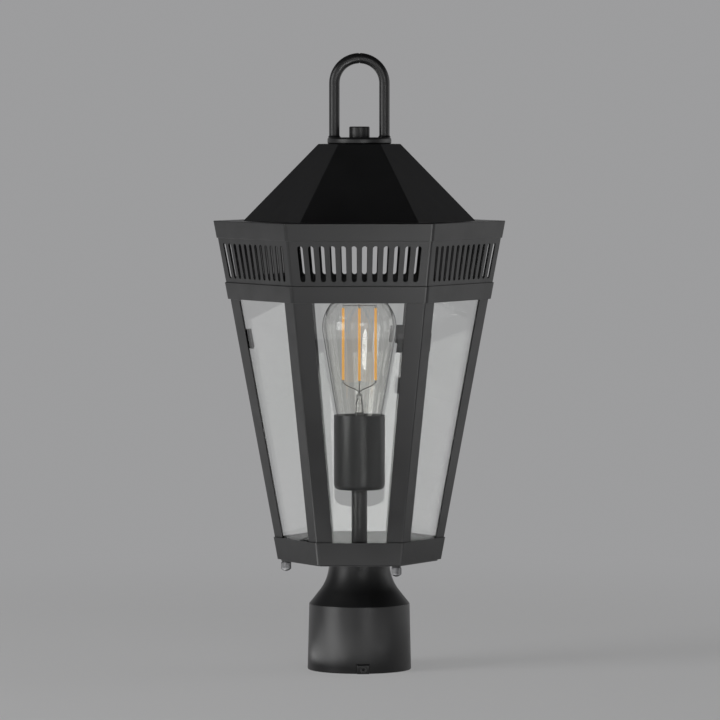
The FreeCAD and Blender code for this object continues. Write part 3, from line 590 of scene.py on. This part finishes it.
def turned(name, node, outline, steps, segments=96):
    """Show a turned form, its corners rounded, in place of a CAD node."""
    piece(name, lathe(name, softened_profile(outline, steps), segments), node)


# ---------------------------------------------------------------- node trees that make geometry

class Flow(Tree):
    """Geometry Nodes tree with named inputs."""

    def __init__(self, name, sizes):
        super().__init__(bpy.data.node_groups.new(name, "GeometryNodeTree"))
        face = self.tree.interface
        face.new_socket("Geometry", in_out="OUTPUT", socket_type="NodeSocketGeometry")
        for label, value in sizes.items():
            kind = "NodeSocketInt" if isinstance(value, int) else "NodeSocketFloat"
            face.new_socket(label, in_out="INPUT", socket_type=kind)
        face.new_socket("Finish", in_out="INPUT", socket_type="NodeSocketMaterial")
        self.entry = self.tree.nodes.new("NodeGroupInput")
        self.sizes = sizes

    def __getitem__(self, label):
        """One of the tree's inputs."""
        return self.entry.outputs[label]

    def add(self, a, b):
        """The sum of two numbers."""
        return self.math("ADD", a, b)

    def less(self, a, b):
        """The first number less the second."""
        return self.math("SUBTRACT", a, b)

    def times(self, a, b):
        """The product of two numbers."""
        return self.math("MULTIPLY", a, b)

    def over(self, a, b):
        """The first number over the second."""
        return self.math("DIVIDE", a, b)

    def vector(self, x=0.0, y=0.0, z=0.0):
        """A vector from its numbers."""
        return self.node("ShaderNodeCombineXYZ", x, y, z)

    def place(self):
        """Position of each point, as x, y and z."""
        return self.whole("ShaderNodeSeparateXYZ", self.node("GeometryNodeInputPosition")).outputs

    def pick(self, test, no, yes):
        """One of two numbers by a test."""
        return self.node("GeometryNodeSwitch", ("Switch", test), ("False", no), ("True", yes),
                         input_type="FLOAT")

    def moved(self, geometry, spot):
        """Geometry at a new place."""
        return self.node("GeometryNodeTransform", ("Geometry", geometry), ("Translation", spot))

    def set_places(self, geometry, x, y, z):
        """Geometry with every point put where three numbers say."""
        return self.node("GeometryNodeSetPosition", ("Geometry", geometry),
                         ("Position", self.vector(x, y, z)))

    def thick(self, surface, depth):
        """A flat sheet made a plate, by its own copy moved along +Z and walls between them."""
        raised = self.node("GeometryNodeExtrudeMesh", ("Mesh", surface), ("Offset", self.vector(z=1.0)),
                           ("Offset Scale", depth), ("Individual", False))
        return self.join(raised, self.node("GeometryNodeFlipFaces", surface))

    def join(self, *parts):
        """Several geometries as one."""
        made = self.tree.nodes.new("GeometryNodeJoinGeometry")
        for part in parts:
            self.tree.links.new(part, made.inputs[0])
        return made.outputs[0]

    def mesh(self, geometry, finish):
        """Close the tree, run it with its sizes and return the plain mesh."""
        geometry = self.node("GeometryNodeRealizeInstances", geometry)
        geometry = self.node("GeometryNodeMergeByDistance", geometry, ("Distance", WELD))
        geometry = self.node("GeometryNodeSetMaterial", ("Geometry", geometry), ("Material", self["Finish"]))
        self.whole("NodeGroupOutput", geometry)
        carrier = placed(self.tree.name, bpy.data.meshes.new(self.tree.name))
        modifier = carrier.modifiers.new(self.tree.name, "NODES")
        modifier.node_group = self.tree
        for socket in self.tree.interface.items_tree:
            if socket.in_out == "INPUT":
                modifier[socket.identifier] = finish if socket.name == "Finish" else self.sizes[socket.name]
        return settled(carrier)


# ---------------------------------------------------------------- post fitter

def fitter():
    """Cast collar and swept neck, turned in one piece, with three drafted set screw bosses."""
    top = TOP["post_fitter"]
    corners = [(POST_BORE, 0, CAST_ROUND), (COLLAR_FOOT, 0, COLLAR_FOOT_ROUND),
               (COLLAR_HEAD, COLLAR_HEIGHT, COLLAR_HEAD_ROUND)]
    for step in range(NECK_STEPS + 1):
        turn = math.radians(NECK_SLOPE) * (1 - step / NECK_STEPS)
        corners.append((NECK_RADIUS + NECK_SWEEP - NECK_SWEEP * math.cos(turn),
                        top - NECK_LAND - NECK_SWEEP * math.sin(turn), 0))
    throat = NECK_RADIUS - NECK_WALL
    ledge = POST_BORE - LEDGE
    throat_foot = COLLAR_HEIGHT + (ledge - throat) / math.tan(math.radians(NECK_SLOPE))
    corners += [(NECK_RADIUS, top, CAST_ROUND), (NIPPLE_HOLE, top, 0), (NIPPLE_HOLE, top - WEB, 0),
                (throat, top - WEB, 0), (throat, throat_foot, 0), (ledge, COLLAR_HEIGHT, 0),
                (ledge, BORE_DEPTH, 0), (POST_BORE, BORE_DEPTH, 0)]
    parts = [lathe("fitter_collar", softened_profile(corners), segments=144)]
    for index in TRIPLES:
        low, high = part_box(f"set_screw_{index}")
        middle = (low + high) / 2
        parts.append(boss(math.atan2(middle.y, middle.x), middle.z))
    piece("fitter_casting", joined("fitter_casting", parts), "post_fitter", crease=40.0)


def boss(heading, screw_level):
    """Drafted block for one set screw, drilled along the screw."""
    head = COLLAR_FOOT + BOSS_REACH
    root = COLLAR_FOOT - BOSS_SINK
    broad = BOSS_WIDTH / 2
    narrow = broad - BOSS_REACH * math.tan(math.radians(BOSS_DRAFT))
    form = bmesh.new()
    rings = []
    for across, half, height in ((root, broad, BOSS_HEIGHT), (head, narrow, BOSS_HEIGHT - BOSS_HEAD_DROP)):
        rings.append([form.verts.new(spot) for spot in (
            (across, -half, 0), (across, half, 0), (across, half, height), (across, -half, height))])
        form.faces.new(rings[-1])
    for step in range(4):
        following = (step + 1) % 4
        form.faces.new((rings[0][step], rings[0][following], rings[1][following], rings[1][step]))
    bmesh.ops.recalc_face_normals(form, faces=form.faces)
    drill = lathe("drill", [(0, root - MM), (SCREW_HOLE, root - MM), (SCREW_HOLE, head + MM), (0, head + MM)],
                  segments=32, closed=False)
    drill.transform(Matrix.Translation((0, 0, screw_level)) @ Matrix.Rotation(math.radians(90), 4, "Y"))
    cutter = placed("drill", drill)
    cut = with_modifiers("boss", drawn("boss_block", form), ("BEVEL", {"width": BOSS_ROUND, "segments": 3}),
                         ("BOOLEAN", {"object": cutter, "operation": "DIFFERENCE", "solver": "EXACT"}))
    bpy.data.objects.remove(cutter)
    cut.transform(Matrix.Rotation(heading, 4, "Z"))
    return cut


# ---------------------------------------------------------------- lamp holder and lamp

def cup_and_stem():
    """Drawn socket cup on the turned stem tube."""
    low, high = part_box("socket_cup")
    inner = high.x - CUP_WALL
    turned("socket_cup_drawn", "socket_cup", [
        (NIPPLE_HOLE, low.z, 0), (high.x, low.z, CUP_ROUND), (high.x, high.z, CUP_LIP_ROUND),
        (inner, high.z, CUP_LIP_ROUND), (inner, low.z + CUP_WALL, CUP_ROUND - CUP_WALL),
        (NIPPLE_HOLE, low.z + CUP_WALL, 0)], steps=8)
    low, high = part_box("stem_tube")
    turned("stem_turned", "stem_tube", [
        (NIPPLE_HOLE, low.z, 0), (high.x, low.z, STEM_ROUND), (high.x, high.z, STEM_ROUND),
        (NIPPLE_HOLE, high.z, 0)], steps=3, segments=64)


def bulb_outline(inset):
    """Points of the blown envelope from its neck to its crown, moved in by the glass's thickness."""
    crown = BULB_RADIUS - inset
    neck = BULB_NECK - inset
    shoulder = BULB_SHOULDER - inset
    neck_level = LAMP_BASE_TOP + BULB_NECK_LAND
    shoulder_level = LAMP_BASE_TOP + BULB_SHOULDER_RISE
    run = BULB_CENTRE - shoulder_level
    swing = math.acos(crown / math.hypot(shoulder, run)) + math.atan2(shoulder, run)
    points = [(neck, LAMP_BASE_TOP - BULB_NECK_TUCK), (neck, neck_level)]
    for step in range(1, BULB_NECK_STEPS):
        share = step / BULB_NECK_STEPS
        soft = share * share * (3 - 2 * share)
        points.append((neck + (shoulder - neck) * ((1 - BULB_NECK_EASE) * share + BULB_NECK_EASE * soft),
                       neck_level + (shoulder_level - neck_level) * share))
    meet = (crown * math.sin(swing), BULB_CENTRE - crown * math.cos(swing))
    for step in range(BULB_CONE_STEPS):
        share = step / BULB_CONE_STEPS
        points.append((shoulder + (meet[0] - shoulder) * share,
                       shoulder_level + (meet[1] - shoulder_level) * share))
    for step in range(BULB_CROWN_STEPS):
        turn = swing + (math.pi - swing) * step / BULB_CROWN_STEPS
        points.append((crown * math.sin(turn), BULB_CENTRE - crown * math.cos(turn)))
    points.append((0.0, BULB_CENTRE + crown))
    return points


def lamp_envelope():
    """Clear blown envelope, with its thickness."""
    outline = bulb_outline(0.0) + bulb_outline(BULB_WALL)[::-1]
    piece("lamp_envelope", lathe("lamp_envelope", outline), "lamp_bulb", crease=60.0)


def filaments():
    """Upright coated sticks on tabs, each wired up from the mount and joined to the others at the top."""
    low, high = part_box("filament_sticks")
    mount_top = TOP["lamp_mount"]
    hub = Vector((0, 0, high.z - TOP_WIRE_DROP))
    sticks = []
    wires = []
    for index in range(STICKS):
        turn = math.tau * index / STICKS
        way = Vector((math.cos(turn), math.sin(turn), 0))
        spot = way * (high.x - STICK_RADIUS)
        centre = (spot.x, spot.y)
        sticks.append(lathe("stick", softened_profile([
            (0, low.z + TAB, 0), (STICK_RADIUS, low.z + TAB, STICK_ROUND),
            (STICK_RADIUS, high.z - TAB, STICK_ROUND), (0, high.z - TAB, 0)], 4), segments=20, centre=centre))
        for start, end in ((low.z, low.z + TAB + TAB_LAP), (high.z - TAB - TAB_LAP, high.z)):
            wires.append(lathe("tab", [(0, start), (TAB_RADIUS, start), (TAB_RADIUS, end), (0, end)],
                               segments=12, centre=centre))
        start = way * WIRE_SPREAD + Vector((0, 0, mount_top - WIRE_TUCK))
        knee = way * WIRE_SPREAD + Vector((0, 0, mount_top + WIRE_RISE))
        end = spot + Vector((0, 0, low.z + WIRE_RADIUS))
        path = curved([start, knee, knee.lerp(end, WIRE_SAG_AT) - Vector((0, 0, WIRE_SAG)), end], WIRE_STEPS)
        wires.append(pipe("lower_wire", path, [WIRE_RADIUS] * len(path), WIRE_SIDES))
        wires.append(pipe("upper_wire", [hub, hub + spot], [TOP_WIRE_RADIUS] * 2, WIRE_SIDES))
    piece("filament_sticks_coated", joined("filament_sticks_coated", sticks), "filament_sticks")
    piece("filament_wires_bent", joined("filament_wires_bent", wires), "filament_wires")


def lamp_mount():
    """Blown glass mount: a flared foot drawn up into a stem with a pinched top."""
    low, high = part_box("lamp_mount")
    outline = [(0, low.z, 0), (high.x, low.z, 0),
               (high.x * MOUNT_FLARE_SHARE, low.z + MOUNT_FLARE_RISE, 0.6 * MM),
               (MOUNT_SHOULDER, LAMP_BASE_TOP - MOUNT_SHOULDER_DROP, 3 * MM),
               (MOUNT_WAIST, high.z - MOUNT_WAIST_DROP, 4 * MM),
               (MOUNT_TIP, high.z - MOUNT_TIP_DROP, 1 * MM),
               (MOUNT_TIP, high.z, 0.7 * MM), (0, high.z, 0)]
    stem = lathe("lamp_mount_blown", softened_profile(outline, 6), segments=48)
    for vertex in stem.vertices:
        into_pinch = vertex.co.z - high.z + PINCH_LENGTH
        if into_pinch > 0:
            vertex.co.y *= 1 - PINCH_DEPTH * min(into_pinch / PINCH_RUN, 1.0)
    piece("lamp_mount_blown", stem, "lamp_mount")


def curved(points, steps):
    """Smooth path through points, in about so many steps."""
    whole = [points[0]] + points + [points[-1]]
    spans = len(points) - 1
    per_span = steps // spans
    path = []
    for span in range(spans):
        a, b, c, d = whole[span:span + 4]
        for step in range(per_span):
            t = step / per_span
            path.append(0.5 * ((2 * b) + (c - a) * t + (2 * a - 5 * b + 4 * c - d) * t * t
                               + (3 * b - a - 3 * c + d) * t ** 3))
    path.append(points[-1].copy())
    return path


# ---------------------------------------------------------------- gallery band

def slotted_sheet(flow, half, middle):
    """One flat face of the band, twice half wide, with its row of slots cut out about a middle level."""
    edge = flow.node("GeometryNodeCurvePrimitiveQuadrilateral", flow.times(half, 2.0), flow["Height"],
                     mode="RECTANGLE")
    edge = flow.moved(edge, flow.vector(0.0, flow.over(flow["Height"], 2.0)))
    slot = flow.node("GeometryNodeCurvePrimitiveQuadrilateral", flow["Slot Width"], flow["Slot Length"],
                     mode="RECTANGLE")
    just_over_two = 2.0005
    slot = flow.node("GeometryNodeFilletCurve", ("Curve", slot),
                     ("Radius", flow.over(flow["Slot Width"], just_over_two)), ("Limit Radius", True),
                     ("Count", SLOT_END_STEPS), mode="POLY")
    start = flow.times(flow.times(flow.less(flow["Slots"], 1.0), flow["Slot Pitch"]), -0.5)
    spots = flow.node("GeometryNodeMeshLine", ("Count", flow["Slots"]),
                      ("Start Location", flow.vector(start, middle)),
                      ("Offset", flow.vector(flow["Slot Pitch"])))
    slots = flow.node("GeometryNodeInstanceOnPoints", ("Points", spots), ("Instance", slot))
    slots = flow.node("GeometryNodeRealizeInstances", slots)
    return flow.node("GeometryNodeFillCurve", flow.join(edge, slots), mode="TRIANGLES")


def gallery():
    """Folded band: six faces with a fan of round-ended slots, joined by round bends."""
    low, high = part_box("gallery_band")
    flow = Flow("gallery_band_folded", {
        "Foot Level": low.z, "Height": high.z - low.z, "Sheet": SHEET,
        "Foot Apothem": cage_apothem(low.z, SEAM), "Slope": math.tan(math.radians(CAGE_TAPER)),
        "Bend Radius": FOLD_RADIUS + SEAM, "Slots": SLOTS_PER_FACE, "Slot Pitch": SLOT_PITCH,
        "Slot Width": SLOT_WIDTH, "Slot Length": SLOT_LENGTH, "Slot Foot": SLOT_FOOT_LEVEL - low.z,
        "Fan Reach": SLOT_FAN_REACH, "Bend Steps": BEND_STEPS})
    side = math.tan(HALF_FACE_TURN)
    middle = flow.add(flow["Slot Foot"], flow.over(flow["Slot Length"], 2.0))
    half = flow.times(flow.less(flow["Foot Apothem"], flow["Bend Radius"]), side)
    across, up, out = flow.place()
    apothem = flow.add(flow["Foot Apothem"], flow.times(up, flow["Slope"]))
    level = flow.add(flow["Foot Level"], up)

    # a face: the slots fan out with the taper, and the edges follow the bends
    edge = flow.times(flow.less(apothem, flow["Bend Radius"]), side)
    fanned = flow.times(across, flow.add(1.0, flow.over(flow.less(up, middle), flow["Fan Reach"])))
    at_edge = flow.node("FunctionNodeCompare", ("A", flow.math("ABSOLUTE", across)),
                        ("B", flow.less(half, WELD)), data_type="FLOAT", operation="GREATER_THAN")
    spread = flow.pick(at_edge, fanned, flow.times(flow.math("SIGN", across), edge))
    face = flow.thick(slotted_sheet(flow, half, middle), flow["Sheet"])
    face = flow.set_places(face, spread, flow.times(flow.add(apothem, out), -1.0), level)

    # a bend: a strip of sheet rolled about the line where two faces' bends are centred
    bend = flow.node("GeometryNodeMeshGrid", 1.0, flow["Height"], flow["Bend Steps"], 2)
    bend = flow.moved(bend, flow.vector(0.0, flow.over(flow["Height"], 2.0)))
    bend = flow.thick(bend, flow["Sheet"])
    swing = flow.add(flow.times(across, FACE_TURN), -FACE_TURN)
    reach = flow.over(flow.less(apothem, flow["Bend Radius"]), math.cos(HALF_FACE_TURN))
    rim = flow.add(flow["Bend Radius"], out)
    bend = flow.set_places(
        bend, flow.add(flow.times(reach, math.cos(-FACE_TURN)), flow.times(rim, flow.math("COSINE", swing))),
        flow.add(flow.times(reach, math.sin(-FACE_TURN)), flow.times(rim, flow.math("SINE", swing))), level)

    around = flow.node("GeometryNodeMeshLine", ("Count", FACES), ("Offset", (0.0, 0.0, 0.0)))
    turn = flow.vector(0.0, 0.0, flow.times(flow.node("GeometryNodeInputIndex"), FACE_TURN))
    band = flow.node("GeometryNodeInstanceOnPoints", ("Points", around), ("Instance", flow.join(face, bend)),
                     ("Rotation", turn))
    piece("gallery_band_folded", flow.mesh(band, FINISHES["black_coat"]), "gallery_band", crease=40.0)


# ---------------------------------------------------------------- roof hardware

def loop_hardware():
    """Turned plate and finial nut, and the bent loop welded to the plate."""
    low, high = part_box("loop_plate")
    turned("loop_plate_turned", "loop_plate", [
        (0, low.z, 0), (high.x, low.z, PLATE_FOOT_ROUND), (high.x, high.z, PLATE_HEAD_ROUND),
        (0, high.z, 0)], steps=6)
    low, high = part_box("finial_nut")
    turned("finial_nut_turned", "finial_nut", [
        (0, low.z, 0), (high.x, low.z, NUT_FOOT_ROUND), (high.x, high.z, NUT_HEAD_ROUND),
        (0, high.z, 0)], steps=5, segments=64)
    low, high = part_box("hanging_loop")
    rod = (high.y - low.y) / 2
    radius = high.x - rod
    centre = high.z - rod - radius
    levels = [low.z + share * (centre - low.z) for share in LEG_CUTS]
    path = [Vector((radius, 0, level)) for level in levels]
    for step in range(CROWN_STEPS + 1):
        turn = math.pi * step / CROWN_STEPS
        path.append(Vector((radius * math.cos(turn), 0, centre + radius * math.sin(turn))))
    path += [Vector((-radius, 0, level)) for level in reversed(levels)]
    radii = [rod] * len(path)
    radii[len(path) // 2] -= LOOP_SEAM
    parts = [pipe("loop_rod", path, radii, LOOP_SIDES)]
    bead = softened_profile([(0, low.z, 0)] + [
        (rod * share, low.z + rise * MM, rounding * MM) for share, rise, rounding in WELD_BEAD], 4)
    for side in (-1, 1):
        parts.append(lathe("weld_bead", bead, segments=40, centre=(side * radius, 0.0)))
    piece("hanging_loop_welded", joined("hanging_loop_welded", parts), "hanging_loop", crease=60.0)


# ---------------------------------------------------------------- nuts, screws and sheet metal

def knurled_nut(index):
    """A nut with straight knurling between two plain rims, and a domed foot."""
    low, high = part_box(f"thumb_nut_{index}")
    centre = (low + high) / 2
    flow = Flow(f"thumb_nut_{index}_knurled", {
        "Radius": (high.x - low.x) / 2, "Height": high.z - low.z - KNOB_DOME, "Dome": KNOB_DOME,
        "Ridges": KNOB_RIDGES, "Knurl": KNOB_KNURL, "Across": centre.x, "Along": centre.y, "Top": high.z})
    body = flow.node("GeometryNodeMeshCylinder",
                     ("Vertices", flow.times(flow["Ridges"], float(KNOB_POINTS_PER_RIDGE))),
                     ("Side Segments", KNOB_ROWS), ("Fill Segments", KNOB_RINGS),
                     ("Radius", 1.0), ("Depth", 1.0))
    x, y, z = flow.place()
    spread = flow.math("SQRT", flow.add(flow.times(x, x), flow.times(y, y)))
    turn = flow.math("ARCTAN2", y, x)
    knurled = flow.math("LESS_THAN", flow.math("ABSOLUTE", z), KNOB_KNURLED_HALF)
    wave = flow.math("POWER", flow.math("ABSOLUTE", flow.math("COSINE", flow.times(
        flow.times(turn, flow["Ridges"]), 0.5))), KNOB_RIDGE_POWER)
    groove = flow.times(flow["Knurl"], flow.less(1.0, flow.times(wave, knurled)))
    reach = flow.times(spread, flow.less(flow["Radius"], groove))
    foot = flow.math("LESS_THAN", z, KNOB_FOOT_LEVEL)
    sag = flow.times(flow.times(foot, flow["Dome"]), flow.less(1.0, flow.times(spread, spread)))
    body = flow.set_places(
        body, flow.add(flow["Across"], flow.times(reach, flow.math("COSINE", turn))),
        flow.add(flow["Along"], flow.times(reach, flow.math("SINE", turn))),
        flow.less(flow.add(flow["Top"], flow.times(flow.less(z, 0.5), flow["Height"])), sag))
    piece(f"thumb_nut_{index}_knurled", flow.mesh(body, FINISHES["knob_metal"]), f"thumb_nut_{index}",
          crease=38.0)


def shortened_screw(node):
    """A set screw with its keyed end brought in to its boss."""
    low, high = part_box(node)
    way = ((low + high) / 2 * Vector((1, 1, 0))).normalized()
    form = cad_mesh(node)
    end = max(vertex.co.dot(way) for vertex in form.vertices)
    for vertex in form.vertices:
        if vertex.co.dot(way) > end - SCREW_KEY_DEPTH - MM:
            vertex.co -= way * (end - COLLAR_FOOT - BOSS_REACH + SCREW_SHY)
    return form


def sheet_metal():
    """Folded and cut parts with their edges eased."""
    for node, width in SHEET_EDGES.items():
        eased(node, width * MM)
    for index in range(1, FACES + 1):
        eased(f"corner_post_{index}", POST_AND_PANE_EDGE)
        eased(f"glass_panel_{index}", POST_AND_PANE_EDGE)
    for index in TRIPLES:
        eased(f"glass_clip_{index}", CLIP_EDGE)
        screw = f"set_screw_{index}"
        eased(screw, SMALL_METAL_EDGE, shortened_screw(screw))
        eased(f"knob_washer_{index}", SMALL_METAL_EDGE)


# ---------------------------------------------------------------- stage and light
BACKDROP = (0.335, 0.335, 0.340)
CEILING = (0.05, 0.05, 0.052)

# where the ceiling starts and is full, as the height of a ray's direction
CEILING_START = 0.12
CEILING_FULL = 0.55

# the floor turns into the backdrop from FLOOR_NEAR to FLOOR_FAR
FLOOR_TONE = (0.50, 0.50, 0.505)
FLOOR_GLOW = 0.225
FLOOR_NEAR = 0.35
FLOOR_FAR = 1.1
FLOOR_RADIUS = 14.0
LANTERN_MIDDLE = Vector((0, 0, 0.25))


def make_stage():
    """A pale floor that turns into the plain backdrop further out, and keeps the lantern's shadow."""
    form = bmesh.new()
    bmesh.ops.create_circle(form, cap_ends=True, segments=96, radius=FLOOR_RADIUS)
    floor = placed("floor", drawn("floor", form))
    shader = Shader("floor")
    shader.tree.nodes.remove(shader.surface)
    output = next(node for node in shader.tree.nodes if node.type == "OUTPUT_MATERIAL")
    seen = shader.rays("Is Camera Ray", "Is Transmission Ray", "Is Glossy Ray")
    diffuse = shader.node("ShaderNodeBsdfDiffuse", ("Color", (*FLOOR_TONE, 1)))
    glow = shader.node("ShaderNodeEmission", ("Strength", shader.math("MULTIPLY", seen, FLOOR_GLOW)))
    near = shader.node("ShaderNodeAddShader", diffuse, glow)
    plain = shader.node("ShaderNodeEmission", ("Color", (*BACKDROP, 1)))
    reach = shader.whole("ShaderNodeVectorMath", shader.place, operation="LENGTH").outputs["Value"]
    share = shader.math("MULTIPLY", seen, shader.rise(reach, FLOOR_NEAR, FLOOR_FAR))
    shader.put(output.inputs["Surface"], shader.node("ShaderNodeMixShader", share, near, plain))
    floor.data.materials.append(shader.material)


def make_world():
    """Plain backdrop round the horizon, under a dark studio ceiling that gloss and soft light see."""
    world = bpy.data.worlds.new("studio")
    bpy.context.scene.world = world
    world.use_nodes = True
    world.node_tree.nodes.clear()
    tree = Tree(world.node_tree)
    straight = tree.rays("Is Camera Ray", "Is Transmission Ray")
    place = tree.whole("ShaderNodeTexCoord").outputs["Generated"]
    height = tree.whole("ShaderNodeSeparateXYZ", place).outputs["Z"]
    backdrop = tree.node("ShaderNodeBackground", ("Color", (*BACKDROP, 1)))
    ceiling = tree.node("ShaderNodeBackground", ("Color", (*CEILING, 1)))
    dome = tree.node("ShaderNodeMixShader", tree.rise(height, CEILING_START, CEILING_FULL), backdrop, ceiling)
    shown = tree.node("ShaderNodeMixShader", straight, dome, backdrop)
    tree.whole("ShaderNodeOutputWorld", ("Surface", shown))


def soft_light(name, size, brightness, spot, rotation, through_glass=True):
    """A plain rectangular light; brightness is what a mirror would show of it.

    The camera doesn't see it straight; through_glass says whether a pane's far side does.
    """
    data = bpy.data.lights.new(name, "AREA")
    data.shape = "RECTANGLE"
    data.size, data.size_y = size
    data.energy = brightness * math.pi * size[0] * size[1]
    light = placed(name, data)
    light.location = spot
    light.rotation_euler = rotation
    light.visible_camera = False
    light.visible_transmission = through_glass


def softbox(name, azimuth, elevation, distance, size, brightness):
    """A light that looks at the lantern's middle.  Azimuth 0 is the camera's side, 90 the right."""
    turn = math.radians(azimuth)
    lift = math.radians(elevation)
    way = Vector((math.sin(turn) * math.cos(lift), -math.cos(turn) * math.cos(lift), math.sin(lift)))
    soft_light(name, size, brightness, LANTERN_MIDDLE + way * distance, looking(-way))


def floor_card(name, azimuth, near, far, width, brightness, lift, through_glass=False):
    """A light that lies on the floor and shines up, from near to far along an azimuth."""
    turn = math.radians(azimuth)
    spot = Vector((math.sin(turn), -math.cos(turn), 0)) * (near + far) / 2
    spot.z = lift
    soft_light(name, (width, far - near), brightness, spot, (math.pi, 0, turn), through_glass)


def make_lights():
    """Soft boxes round the lantern, and cards on the floor that light it from below."""
    softbox("left_box", -62, 4, 2.4, (1.2, 2.4), 3.2)
    softbox("front_left_box", -28, 4, 3.4, (1.5, 1.8), 0.75)
    softbox("front_right_box", 21, 4, 3.4, (0.9, 2.0), 1.1)
    softbox("right_box", 98, 4, 2.4, (1.5, 2.0), 0.6)
    softbox("rear_right_box", 120, 7, 2.6, (0.9, 1.2), 0.5)
    soft_light("high_front_box", (0.9, 0.575), 3.2, (0.41, -3.4, 0.94), looking((-0.1, 1, -0.2)))
    floor_card("front_card", 0, 0.8, 1.7, 3.0, 1.0, 0.004)
    floor_card("front_strip", 18, 0.62, 4.0, 0.2, 7.0, 0.008, through_glass=True)
    floor_card("near_card", 0, 0.08, 0.26, 0.7, 1.3, 0.004)
    floor_card("left_strip", -66, 0.06, 0.6, 0.15, 2.6, 0.005)
    floor_card("right_card", 112, 0.5, 2.2, 2.0, 0.32, 0.006)
    floor_card("left_card", -112, 0.5, 2.2, 2.0, 0.45, 0.006)


# ---------------------------------------------------------------- the scene
bpy.context.scene.view_settings.view_transform = "Standard"
make_camera()
make_stage()
make_world()
make_lights()
FINISHES = make_materials()
dress_nodes()
fitter()
cup_and_stem()
lamp_envelope()
filaments()
lamp_mount()
gallery()
loop_hardware()
for nut in TRIPLES:
    knurled_nut(nut)
sheet_metal()
